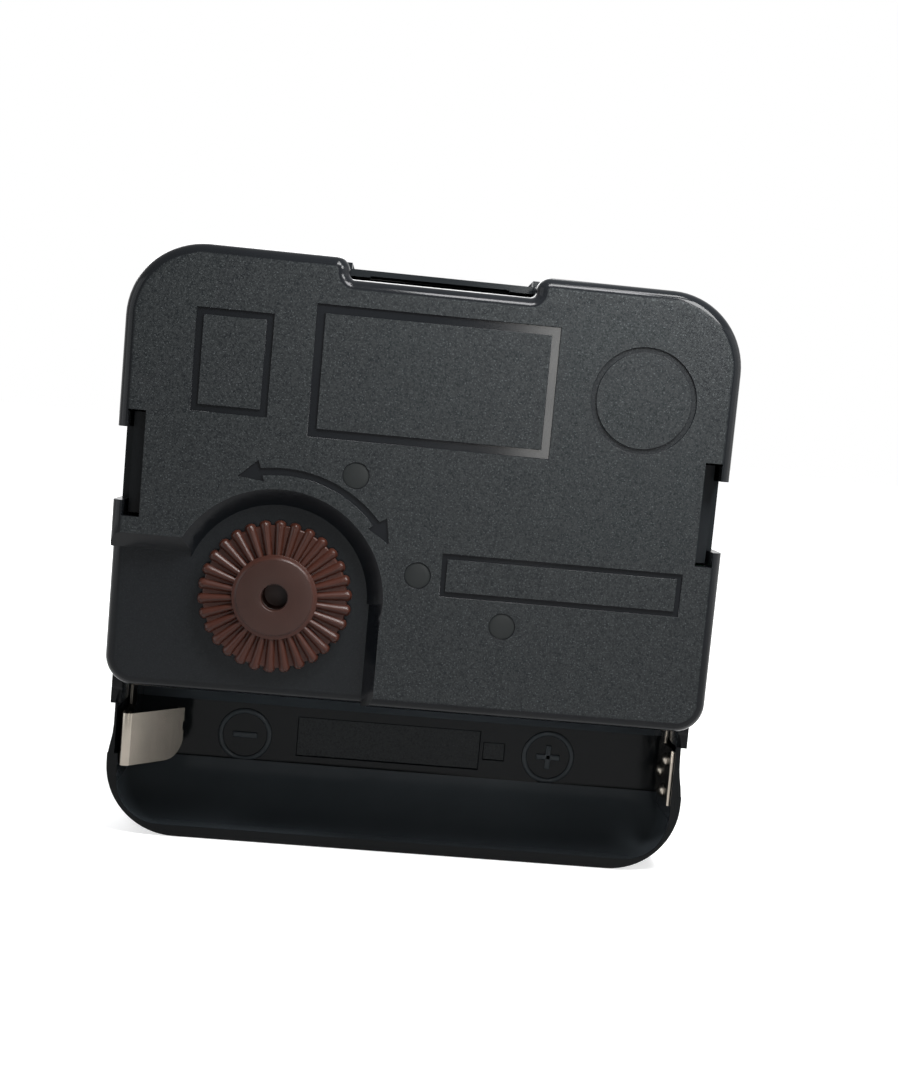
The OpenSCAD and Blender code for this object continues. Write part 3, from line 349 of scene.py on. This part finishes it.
# A darker copy of the nickel: its colour is painted shade for the riser, which lies in shadow under the
# cover.
nickel_painted_shade = metal("nickel_painted_shade", (0.040, 0.037, 0.032), (0.065, 0.060, 0.052), rough=(0.30, 0.40),
                    stretch=(1.0, 1.0, 0.1), scale=1800.0)
brass_turned = metal("brass_turned", (0.56, 0.38, 0.14), (0.72, 0.52, 0.22), rough=(0.2, 0.34),
                     stretch=(0.3, 4.0, 0.3), scale=1400.0)
steel_ground = metal("steel_ground", (0.42, 0.43, 0.45), (0.56, 0.57, 0.59), rough=(0.16, 0.28),
                     stretch=(0.3, 4.0, 0.3), scale=1600.0)
iron_sheet = metal("iron_sheet", (0.30, 0.31, 0.33), (0.42, 0.43, 0.45), rough=(0.34, 0.48),
                   stretch=(1.0, 1.0, 0.3), scale=1200.0)
can_metal = metal("can_metal", (0.55, 0.56, 0.57), (0.68, 0.69, 0.70), rough=(0.14, 0.26),
                  stretch=(2.0, 2.0, 0.4), scale=1200.0)
magnet_dark = moulded("magnet_dark", (0.03, 0.03, 0.032), (0.05, 0.05, 0.053), rough=(0.4, 0.55),
                      grain=0.00002, scale=2500.0)
wheel_white = moulded("wheel_white", (0.62, 0.62, 0.56), (0.72, 0.72, 0.67), rough=(0.34, 0.46))
plate_white = moulded("plate_white", (0.66, 0.66, 0.62), (0.76, 0.76, 0.73), rough=(0.38, 0.5))
bobbin_white = moulded("bobbin_white", (0.60, 0.60, 0.54), (0.70, 0.70, 0.65), rough=(0.36, 0.48))
resin = moulded("resin_black", (0.008, 0.008, 0.009), (0.014, 0.014, 0.015), rough=(0.25, 0.35),
                grain=0.00003, scale=700.0)
copper = wound("copper_wire", (0.22, 0.07, 0.02), (0.50, 0.19, 0.07))
laminate = board_finish("board_green")

# Mesh building

# Tolerances: distances in metres, and the least angles between two faces.
WELD_GAP = 2e-6
COLLAPSED_EDGE = 5e-7
CUT_GAP = 1e-7
SAME_HEIGHT = 2e-5
SAME_PLANE = math.radians(0.6)
SHARP_EDGE = math.radians(22)


def whole(bm):
    """All that a mesh holds."""
    return bm.verts[:] + bm.edges[:] + bm.faces[:]


def fill_cuts(bm):
    """Closes each open edge loop with one flat face."""
    bmesh.ops.holes_fill(bm, edges=[e for e in bm.edges if e.is_boundary], sides=0)


def turn_outwards(bm):
    """Makes every face look outwards."""
    bmesh.ops.recalc_face_normals(bm, faces=bm.faces[:])


def object_from(bm, name, material, smooth_angle=35.0, flat=None):
    """An object whose large faces keep their own normals, so that only its rounded edges shade
    round. flat says which faces are shaded quite flat."""
    mesh = bpy.data.meshes.new(name)
    bm.normal_update()
    bm.to_mesh(mesh)
    bm.free()
    obj = bpy.data.objects.new(name, mesh)
    bpy.context.scene.collection.objects.link(obj)
    mesh.materials.append(material)
    mesh.polygons.foreach_set("use_smooth", [True] * len(mesh.polygons))
    mesh.set_sharp_from_angle(angle=math.radians(smooth_angle))
    if flat:
        mesh.polygons.foreach_set("use_smooth", [not flat(f) for f in mesh.polygons])
    even = obj.modifiers.new("even_normals", "WEIGHTED_NORMAL")
    even.weight = 100
    even.keep_sharp = True
    return obj


def welded(node):
    """The node's own mesh in the row frame, welded, with its flat faces joined."""
    source = nodes[node]
    bm = bmesh.new()
    bm.from_mesh(source.data)
    bm.transform(source.matrix_world)
    bmesh.ops.remove_doubles(bm, verts=bm.verts[:], dist=WELD_GAP)
    bmesh.ops.dissolve_limit(bm, angle_limit=SAME_PLANE, verts=bm.verts[:], edges=bm.edges[:],
                             use_dissolve_boundaries=False)
    turn_outwards(bm)
    return bm


def soften(bm, rules, segments=3):
    """Rounds sharp edges: rules is a list of (test on an edge's middle, width in metres), and the
    first that fits an edge counts."""
    sharp = [e for e in bm.edges if e.is_manifold and e.calc_face_angle(0.0) > SHARP_EDGE]
    for test, width in rules:
        chosen = [e for e in sharp if e.is_valid and test((e.verts[0].co + e.verts[1].co) / 2)]
        if chosen and width:
            bmesh.ops.bevel(bm, geom=chosen, offset=width, offset_type="OFFSET", segments=segments,
                            profile=0.5, affect="EDGES", clamp_overlap=True, loop_slide=True,
                            miter_outer="SHARP")
            sharp = [e for e in sharp if e.is_valid and e not in chosen]
    bmesh.ops.dissolve_degenerate(bm, dist=COLLAPSED_EDGE, edges=bm.edges[:])


def recess(bm, x0, x1, y0, y1, z, depth, slope=0.1):
    """Sinks a rectangle of the flat face that looks to the rear at height z, with sloping sides."""
    centre = at((x0 + x1) / 2, (y0 + y1) / 2, z)
    holds = bmesh.geometry.intersect_face_point
    floor = [f for f in bm.faces if f.normal.y > 0.99
             and abs(f.calc_center_median().y - centre.y) < SAME_HEIGHT and holds(f, centre)]
    corners = dict.fromkeys(v for f in floor for v in f.verts)
    borders = dict.fromkeys(e for f in floor for e in f.edges)
    geom = floor + list(corners) + list(borders)
    across, along = (1, 0, 0), (0, 0, 1)
    for place, normal in (((x0, y0), across), ((x1, y0), across), ((x0, y0), along), ((x0, y1), along)):
        geom = bmesh.ops.bisect_plane(bm, geom=geom, dist=CUT_GAP, plane_co=at(*place, z),
                                      plane_no=normal)["geom"]
    inner = [f for f in geom if isinstance(f, bmesh.types.BMFace) and holds(f, centre)]
    bmesh.ops.inset_region(bm, faces=inner, thickness=slope / MM, depth=-depth / MM,
                           use_even_offset=True)


def anywhere(p):
    """The test that every edge passes."""
    return True


def dressed(node, name, body, material, width, first=(), sunk=(), flat=None, trim=None):
    """The node's own form with rounded edges, as a piece that replaces it. width is the rounding in
    metres, and first are rules for the edges that need another."""
    bm = welded(node)
    for place in sunk:
        recess(bm, *place)
    if trim:
        trim(bm)
    soften(bm, [*first, (anywhere, width)])
    obj = object_from(bm, name, material, smooth_angle=38.0, flat=flat)
    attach(obj, body)
    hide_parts(node)


def on_case(bm, name, material):
    """A piece of its own that is fixed on the case."""
    obj = object_from(bm, name, material)
    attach(obj, "case")


# Cover and tray

FRAMES = ((-21.6, -14.8, 13.1, 22.3), (-11.0, 11.0, 11.7, 23.6), (2.2, 24.4, -1.7, 2.2))
RING, RING_R = (19.15, 17.75), 4.85
ROUND_MARKS = ((0.0, 0.0), (8.15, -4.04), (-6.35, 8.58))
ARROW_INNER_R, ARROW_OUTER_R = 10.5, 13.0
ARROW_LOW_Y, ARROW_LEFT_X = 2.0, -17.0
FRAME_REACH, RING_REACH, MARK_REACH = 0.7, 0.8, 1.5
COVER_TOP, GROOVE_FLOOR = 16.0, 15.85
BAY_FLOOR, BAY_TOP_Y = 0.85, -14.5
CELL_SIGN_REACH, SHAFT_HOLE_REACH = 12.5, 6.0
NEAR_Z, NEAR_FLOOR = 0.05, 0.1


def away(x, y, centre):
    """Distance between two places in the rear view."""
    return math.hypot(x - centre[0], y - centre[1])


def engraved(x, y):
    """True near the frames, the ring, the arrow and the round marks on the cover's face."""
    framed = any(x0 - FRAME_REACH < x < x1 + FRAME_REACH and y0 - FRAME_REACH < y < y1 + FRAME_REACH
                 for x0, x1, y0, y1 in FRAMES)
    ringed = abs(away(x, y, RING) - RING_R) < RING_REACH
    marked = any(away(x, y, mark) < MARK_REACH for mark in ROUND_MARKS)
    arrow = ARROW_INNER_R < away(x, y, KNOB) < ARROW_OUTER_R and y > ARROW_LOW_Y and x > ARROW_LEFT_X
    return framed or ringed or marked or arrow


def groove_edge(p):
    """True on the upper edges of the engraved grooves."""
    x, y, z = rear_view(p)
    return z > COVER_TOP - NEAR_Z and engraved(x, y)


def groove_foot(p):
    """True on the edges of the grooves' floors."""
    x, y, z = rear_view(p)
    return abs(z - GROOVE_FLOOR) < NEAR_Z and engraved(x, y)


def cell_sign_edge(p):
    """True on the edges of the cell's sunk sign in the bay."""
    x, y, z = rear_view(p)
    return y < BAY_TOP_Y and z < BAY_FLOOR + NEAR_FLOOR and abs(x) < CELL_SIGN_REACH


def shaft_hole_edge(p):
    """True on the edges of the hole for the shafts."""
    x, y, z = rear_view(p)
    return math.hypot(x, y) < SHAFT_HOLE_REACH and z < BAY_FLOOR + NEAR_FLOOR


def square_wall(face):
    """True for the tray's front faces and its large walls that stand square."""
    large, frontal, straight = 0.00002, -0.999, 0.9999
    return face.normal.y < frontal or (face.area > large and max(abs(c) for c in face.normal) > straight)


SIGN_DEPTH = 0.2
CELL_SIGN = [(-10.5, 8.3, -21.1, -17.0, BAY_FLOOR, SIGN_DEPTH),
             (8.6, 10.9, -20.0, -18.1, BAY_FLOOR, SIGN_DEPTH)]
dressed("rear_cover", "cover_shell", "case", cover_finish, 0.00012,
        first=[(groove_edge, 0.00010), (groove_foot, 0.0)])
dressed("front_case", "case_tray", "case", case_finish, 0.00015,
        first=[(cell_sign_edge, 0.00004), (shaft_hole_edge, 0.0)], sunk=CELL_SIGN, flat=square_wall)


# Turned shapes

def band(bm, a, b):
    """Faces between two rings of as many points."""
    for j in range(len(a)):
        k = (j + 1) % len(a)
        bm.faces.new((a[j], a[k], b[k], b[j]))


def cap(bm, rings):
    """Closes the last ring and the first."""
    bm.faces.new(rings[-1])
    bm.faces.new(rings[0][::-1])


def lathe(bm, profile, centre, sides, hollow=False):
    """A closed turned shape round a rear-view point. profile is a list of (radius, height). A hollow
    shape joins its last ring to its first, and a solid one is capped at both."""
    turns = [2 * math.pi * j / sides for j in range(sides)]
    rings = []
    for r, z in profile:
        rings.append([bm.verts.new(at(centre[0] + r * math.cos(a), centre[1] + r * math.sin(a), z))
                      for a in turns])
    for a, b in zip(rings, rings[1:]):
        band(bm, a, b)
    if hollow:
        band(bm, rings[-1], rings[0])
    else:
        cap(bm, rings)


def arc(cx, cz, r, start, end, steps, height=None):
    """Points of a circle's arc in degrees, or of an ellipse's where a height is given."""
    turns = [math.radians(start + (end - start) * i / steps) for i in range(steps + 1)]
    return [(cx + r * math.cos(a), cz + (height or r) * math.sin(a)) for a in turns]


# Knob

# Radii and heights of the disc, then the widths of its rounded edges.
HUB_R, TIP_R, HOLE_R = 3.9, 7.05, 1.2
KNOB_TOP, WEB_TOP, DISC_LOW, HOLE_FLOOR, PLUG_LOW = 16.0, 15.35, 14.92, 12.4, 9.2
HUB_FACE = KNOB_TOP - 0.14
SHAFT_TOP = DISC_LOW + 0.03
PLUG_R = HOLE_R - 0.01
WEB_R, CROWN_R, CROWN_FOOT_R = 6.4, 3.42, 3.5
WEB_EDGE, HUB_EDGE, CROWN_EDGE, HOLE_EDGE = 0.2, 0.06, 0.07, 0.14
# A rib starts inside the hub, by its root, and its end is rounded. Its half width and half height
# grow from the hub outwards, and its ridge falls by its drop. With a ridge of 1 its section is round.
RIBS, RIB_STEPS, RIB_END_STEPS, RIB_SIDES = 30, 9, 4, 16
RIB_TOP, RIB_DROP = KNOB_TOP - 0.2, 0.12
RIB_ROOT, RIB_END, RIB_END_SHARE = 0.3, 0.42, 0.02
RIB_HALF_W, RIB_WIDER, RIB_HALF_H, RIB_HIGHER = 0.36, 0.20, 0.42, 0.10
RIDGE = 1.4


def ridged(v):
    """Draws a circle's coordinate in, so that a round section gets a blunt ridge."""
    return math.copysign(abs(v) ** RIDGE, v)


def rib(bm, angle):
    """One rib of the knob with a blunt ridge: it grows wider outwards and ends round."""
    sections = []
    for i in range(RIB_STEPS):
        along = i / (RIB_STEPS - 1)
        sections.append((HUB_R - RIB_ROOT + along * (TIP_R - RIB_END - HUB_R + RIB_ROOT), 1.0))
    for i in range(1, RIB_END_STEPS + 1):
        turn = i / RIB_END_STEPS * math.pi / 2
        sections.append((TIP_R - RIB_END + RIB_END * math.sin(turn), max(math.cos(turn), RIB_END_SHARE)))
    c, s = math.cos(angle), math.sin(angle)
    rings = []
    for r, share in sections:
        out = (r - HUB_R) / (TIP_R - HUB_R)
        half_w = (RIB_HALF_W + RIB_WIDER * out) * share
        half_h = (RIB_HALF_H + RIB_HIGHER * out) * share
        middle = RIB_TOP - RIB_DROP * out - (RIB_HALF_H + RIB_HIGHER * out)
        ring = []
        for j in range(RIB_SIDES):
            a = 2 * math.pi * j / RIB_SIDES
            side = half_w * ridged(math.cos(a))
            z = middle + half_h * ridged(math.sin(a))
            ring.append(bm.verts.new(at(KNOB[0] + r * c - side * s, KNOB[1] + r * s + side * c, z)))
        rings.append(ring)
    for a, b in zip(rings, rings[1:]):
        band(bm, a, b)
    cap(bm, rings)


bm = welded("setting_knob")
bmesh.ops.bisect_plane(bm, geom=whole(bm), plane_co=at(0, 0, SHAFT_TOP), plane_no=(0, 1, 0),
                       clear_outer=True)
bmesh.ops.triangle_fill(bm, edges=[e for e in bm.edges if e.is_boundary], use_beauty=True)
disc = arc(WEB_R, WEB_TOP - WEB_EDGE, WEB_EDGE, start=-5, end=90, steps=4)
disc += [(HUB_R, WEB_TOP)]
disc += arc(HUB_R - HUB_EDGE, HUB_FACE - HUB_EDGE, HUB_EDGE, start=0, end=90, steps=3)
disc += [(CROWN_FOOT_R, HUB_FACE)]
disc += arc(CROWN_R, KNOB_TOP - CROWN_EDGE, CROWN_EDGE, start=10, end=90, steps=4)
disc += arc(HOLE_R + HOLE_EDGE, KNOB_TOP - HOLE_EDGE, HOLE_EDGE, start=90, end=180, steps=4)
disc += [(HOLE_R, DISC_LOW)]
lathe(bm, disc, KNOB, sides=96, hollow=True)
lathe(bm, [(PLUG_R, PLUG_LOW), (PLUG_R, HOLE_FLOOR)], KNOB, sides=48)
for i in range(RIBS):
    rib(bm, 2 * math.pi * (i + 0.5) / RIBS)
turn_outwards(bm)
knob = object_from(bm, "ribbed_knob", knob_finish, smooth_angle=40.0)
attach(knob, "setting_knob")
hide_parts("setting_knob")

# Contacts, shafts and the works inside

# The way that the leaf runs at rest, what is cut off its end, and its corner's radius, in metres.
LEAF_WAY = Vector((-0.6561, -0.7547, 0))
LEAF_CUT = 0.0005
LEAF_CORNER_R = 0.0022
LEAF_CORNER_TURNS = (0, 15, 30, 45, 60, 75)
# The plate's inner side, and the part of it that holds its domes.
PLATE_X = 26.95
PLATE_SKIN = 0.01
DOMES_Y, DOMES_Z = (-21.4, -15.8), (5.0, 8.6)


def trimmed_leaf(bm):
    """Takes the curl off the leaf's free end and rounds its lower corner."""
    down = Vector((0, 0, -1))
    reach = max(v.co.dot(LEAF_WAY) for v in bm.verts) - LEAF_CUT
    low = min(v.co.z for v in bm.verts)
    middle = LEAF_WAY * (reach - LEAF_CORNER_R) + down * -(low + LEAF_CORNER_R)
    for turn in LEAF_CORNER_TURNS:
        out = LEAF_WAY * math.cos(math.radians(turn)) + down * math.sin(math.radians(turn))
        bmesh.ops.bisect_plane(bm, geom=whole(bm), plane_co=middle + out * LEAF_CORNER_R,
                               plane_no=out, clear_outer=True)
        fill_cuts(bm)


def plain_plate(bm):
    """Takes the small domes off the plate's inner side: larger round ones stand for them."""
    domes = []
    for face in bm.faces:
        x, y, z = rear_view(face.calc_center_median())
        if x < PLATE_X - PLATE_SKIN and DOMES_Y[0] < y < DOMES_Y[1] and DOMES_Z[0] < z < DOMES_Z[1]:
            domes.append(face)
    bmesh.ops.delete(bm, geom=domes, context="FACES")
    fill_cuts(bm)


dressed("negative_spring", "negative_leaf", "negative_spring", nickel, 0.00008,
        trim=trimmed_leaf)
dressed("positive_contact", "positive_plate", "case", nickel, 0.00007,
        trim=plain_plate)
# The riser's darker nickel is painted shade.
dressed("negative_strip", "negative_riser", "case", nickel_painted_shade, 0.00006)
dressed("threaded_bushing", "threaded_sleeve", "case", brass_turned, 0.00006)
dressed("hour_wheel", "hour_pipe_wheel", "hour_wheel", wheel_white, 0.00006)
dressed("minute_tube", "minute_pipe", "minute_tube", brass_turned, 0.00006)
dressed("second_arbor", "second_spindle", "second_wheel", steel_ground, 0.00008)

for finish, kept_nodes in (
        (plate_white, ("middle_plate",)),
        (laminate, ("circuit_board",)),
        (resin, ("chip_cap",)),
        (can_metal, ("quartz_crystal",)),
        (bobbin_white, ("coil_bobbin",)),
        (copper, ("coil_winding",)),
        (iron_sheet, ("coil_core", "stator")),
        (steel_ground, ("clutch_spring",)),
        (magnet_dark, ("rotor_magnet",)),
        (wheel_white, ("minute_wheel", "centre_wheel", "third_wheel", "second_wheel",
                       "intermediate_wheel", "rotor_pinion"))):
    for node in kept_nodes:
        mesh = nodes[node].data
        mesh.materials.clear()
        mesh.materials.append(finish)

# Round marks on the cover

MARK_R, MARK_FOOT, MARK_EDGE, MARK_CROWN = 1.19, 15.88, 15.90, 0.085
bowl = [(MARK_R, MARK_FOOT), (MARK_R, MARK_EDGE)]
bowl += arc(0, MARK_EDGE, MARK_R, start=15, end=75, steps=4, height=MARK_CROWN)
for i, place in enumerate(ROUND_MARKS):
    bm = bmesh.new()
    lathe(bm, bowl, place, sides=48)
    turn_outwards(bm)
    on_case(bm, "round_mark_%d" % (i + 1), mark_finish)


# End walls and contact of the cell bay

def prism(name, outline, bottom, top):
    """A block of the case that runs from front to rear: outline is a list of rear-view points."""
    bm = bmesh.new()
    low = [bm.verts.new(at(x, y, bottom)) for x, y in outline]
    high = [bm.verts.new(at(x, y, top)) for x, y in outline]
    cap(bm, [low, high])
    band(bm, low, high)
    turn_outwards(bm)
    soften(bm, [(anywhere, BLOCK_EDGE)], segments=2)
    on_case(bm, name, case_finish)


def dome(name, y, z):
    """A pressed dome on the contact plate at the right end of the bay."""
    bm = bmesh.new()
    bmesh.ops.create_uvsphere(bm, u_segments=32, v_segments=20, radius=1.0)
    for v in bm.verts:
        v.co = at(PLATE_X, y, z) + Vector((v.co.x * DOME_H, v.co.y * DOME_R, v.co.z * DOME_R)) / MM
    bmesh.ops.bisect_plane(bm, geom=whole(bm), plane_co=at(PLATE_X + DOME_ROOT, y, z),
                           plane_no=(-1, 0, 0), clear_outer=True)
    fill_cuts(bm)
    turn_outwards(bm)
    on_case(bm, name, nickel)


BLOCK_EDGE = 0.00004
WALL_X = 27.32
WEB_BOTTOM, RIM_TOP, GAP_TOP, GAP_LOW = 2.55, 9.35, -15.3, -20.3
left_web = [(-WALL_X, GAP_TOP), (-27.55, GAP_TOP), (-27.55, -17.4), (-27.62, -18.4), (-27.8, -19.4),
            (-27.95, GAP_LOW), (-WALL_X, GAP_LOW)]
right_web = [(WALL_X, GAP_TOP), (27.42, GAP_TOP), (27.47, -16.6), (27.52, -17.5), (27.64, -18.4),
             (27.82, -19.3), (27.95, GAP_LOW), (WALL_X, GAP_LOW)]
prism("end_wall_web_left", left_web, WEB_BOTTOM, RIM_TOP)
prism("end_wall_web_right", right_web, WEB_BOTTOM, RIM_TOP)
PLATE_TOP, LIP_LOW, LIP_X = 8.93, -21.4, 27.4
groove_lip = [(PLATE_X, GAP_TOP), (LIP_X, GAP_TOP), (LIP_X, LIP_LOW), (PLATE_X, LIP_LOW)]
prism("contact_groove_lip", groove_lip, PLATE_TOP, RIM_TOP)
DOME_R, DOME_H, DOME_ROOT = 0.85, 0.80, 0.02
for i, (y, z) in enumerate(((-17.3, 5.9), (-20.45, 5.9), (-18.9, 3.6))):
    dome("contact_dome_%d" % (i + 1), y, z)


# Signs in the cell bay

# The signs' height above the floor and depth in it in millimetres, and their rounding in metres.
SIGN_H, SIGN_SUNK, SIGN_EDGE = 0.2, 0.3, 0.00012
SIGN_RING_R, SIGN_RING_W = 2.75, 0.55
BAR_LONG, BAR_THIN = 1.25, 0.3


def sign(name, centre, bars):
    """A raised ring with a round back, and raised bars with rounded edges in it: bars is a list of
    half lengths across and along."""
    x, y = centre
    foot, half = BAY_FLOOR - SIGN_SUNK, SIGN_RING_W / 2
    back = arc(SIGN_RING_R - half, BAY_FLOOR, half, start=0, end=180, steps=10, height=SIGN_H)
    section = [(SIGN_RING_R, foot)] + back + [(SIGN_RING_R - SIGN_RING_W, foot)]
    bm = bmesh.new()
    lathe(bm, section, centre, sides=64, hollow=True)
    turn_outwards(bm)
    on_case(bm, name + "_ring", case_finish)
    bm = bmesh.new()
    for across, along in bars:
        low = at(x + across, y - along, foot)
        size = at(x - across, y + along, BAY_FLOOR + SIGN_H) - low
        for v in bmesh.ops.create_cube(bm, size=1.0)["verts"]:
            v.co = Vector((low[i] + (v.co[i] + 0.5) * size[i] for i in range(3)))
    bmesh.ops.bevel(bm, geom=bm.edges[:], offset=SIGN_EDGE, segments=3, profile=0.5, affect="EDGES")
    turn_outwards(bm)
    on_case(bm, name + "_sign", case_finish)


sign("minus", (-15.75, -19.3), [(BAR_LONG, BAR_THIN)])
sign("plus", (15.4, -19.15), [(BAR_LONG, BAR_THIN), (BAR_THIN, BAR_LONG)])

# Floor and surroundings

WHITE = (1, 1, 1, 1)
SKY_TINT = (0.94, 0.97, 1.0, 1)
SKY_RANGE = (("From Min", -0.3), ("From Max", 0.9), ("To Min", 0.05), ("To Max", 0.17))
FLOOR_Z, FLOOR_HALF = -0.0281, 3.0
scene = bpy.context.scene


def seen_directly(tree):
    """1 for rays that a viewer follows to the background: straight, mirrored or through glass."""
    path = tree.nodes.new("ShaderNodeLightPath")
    found = path.outputs["Is Camera Ray"]
    for name in ("Is Glossy Ray", "Is Transmission Ray"):
        either = tree.nodes.new("ShaderNodeMath")
        either.operation = "MAXIMUM"
        tree.links.new(found, either.inputs[0])
        tree.links.new(path.outputs[name], either.inputs[1])
        found = either.outputs[0]
    return found


m = Nodes("floor_pale")
mottle = m.noise(m.scaled(), scale=30.0, detail=2.0)
m.finish(color=m.mix(mottle, (0.60, 0.60, 0.60), (0.64, 0.64, 0.64)), rough=0.9, gloss=0.1)
spread = m.vector("LENGTH", m.coord.outputs["Object"])["Value"]
glow = m.ramp(spread, low=0.04, high=0.14, a=0.62, b=1.0)
m.bsdf.inputs["Emission Color"].default_value = WHITE
m.link(m.math("MULTIPLY", seen_directly(m.tree), glow), m.bsdf.inputs["Emission Strength"])
bm = bmesh.new()
bmesh.ops.create_grid(bm, x_segments=1, y_segments=1, size=FLOOR_HALF,
                      matrix=Matrix.Translation((0, 0, FLOOR_Z)))
object_from(bm, "pale_floor", m.mat)

world = bpy.data.worlds.new("soft_studio")
scene.world = world
world.use_nodes = True
tree = world.node_tree
tree.nodes.clear()
soft = tree.nodes.new("ShaderNodeBackground")
soft.inputs["Color"].default_value = SKY_TINT
white = tree.nodes.new("ShaderNodeBackground")
white.inputs["Color"].default_value = WHITE
height = tree.nodes.new("ShaderNodeSeparateXYZ")
sky = tree.nodes.new("ShaderNodeMapRange")
for key, value in SKY_RANGE:
    sky.inputs[key].default_value = value
tree.links.new(tree.nodes.new("ShaderNodeTexCoord").outputs["Generated"], height.inputs[0])
tree.links.new(height.outputs["Z"], sky.inputs["Value"])
tree.links.new(sky.outputs["Result"], soft.inputs["Strength"])
blend = tree.nodes.new("ShaderNodeMixShader")
tree.links.new(seen_directly(tree), blend.inputs[0])
tree.links.new(soft.outputs[0], blend.inputs[1])
tree.links.new(white.outputs[0], blend.inputs[2])
tree.links.new(blend.outputs[0], tree.nodes.new("ShaderNodeOutputWorld").inputs["Surface"])


# Lamps

def area_light(name, place, aim, size, power, color=(1, 1, 1)):
    """A rectangular lamp: place and aim in metres, size as width and height, power in watts."""
    data = bpy.data.lights.new(name, "AREA")
    data.shape = "RECTANGLE"
    data.size, data.size_y = size
    data.energy = power
    data.color = color
    obj = bpy.data.objects.new(name, data)
    scene.collection.objects.link(obj)
    obj.location = place
    obj.rotation_euler = (Vector(aim) - Vector(place)).to_track_quat("-Z", "Y").to_euler()


area_light("key", (-0.030, 0.195, 0.0255), (-0.01, 0.016, 0.01), (0.015, 0.044), 0.075, (1.0, 0.99, 0.96))
area_light("glint", (-0.042, 0.050, 0.056), (-0.012, 0.016, 0.014), (0.018, 0.026), 0.085)
area_light("high", (-0.012, 0.048, 0.072), (-0.008, 0.016, 0.012), (0.030, 0.016), 0.095)
area_light("top", (-0.070, 0.10, 0.26), (-0.015, 0.016, 0.02), (0.05, 0.056), 0.42)
area_light("left", (0.25, 0.08, 0.02), (0, 0.016, 0), (0.19, 0.25), 0.38, (0.92, 0.96, 1.0))
area_light("right", (-0.25, 0.05, 0.02), (0, 0.016, 0), (0.25, 0.30), 0.40)
area_light("front", (0.1, -0.35, 0.25), (0, 0, 0), (0.3, 0.3), 1.6)

# Camera at the photograph's viewing angle

IMAGE_W, IMAGE_H = 898, 1074
FOCAL_PX = 1515.488
CENTRE_PX = (495.881, 589.699)
SENSOR = 36.0
CAMERA_PLACE = Vector((0.0027728, 0.154174, 0.0140393))
CAMERA_AXES = (
    Vector((-0.993607, 0.062349, 0.094112)),
    Vector((0.086765, -0.111577, 0.989961)),
    Vector((0.072224, 0.991798, 0.105454)),
)
camera_data = bpy.data.cameras.new("photo_camera")
camera_data.sensor_width = SENSOR
camera_data.lens = FOCAL_PX / IMAGE_H * SENSOR
camera_data.shift_x = -(CENTRE_PX[0] - IMAGE_W / 2) / IMAGE_H
camera_data.shift_y = (CENTRE_PX[1] - IMAGE_H / 2) / IMAGE_H
camera_data.clip_start = 0.005
camera_data.clip_end = 20.0
camera = bpy.data.objects.new("photo_camera", camera_data)
scene.collection.objects.link(camera)
rows = [(*[axis[i] for axis in CAMERA_AXES], CAMERA_PLACE[i]) for i in range(3)]
camera.matrix_world = Matrix(rows + [(0, 0, 0, 1)])
scene.camera = camera
scene.view_settings.view_transform = "Standard"
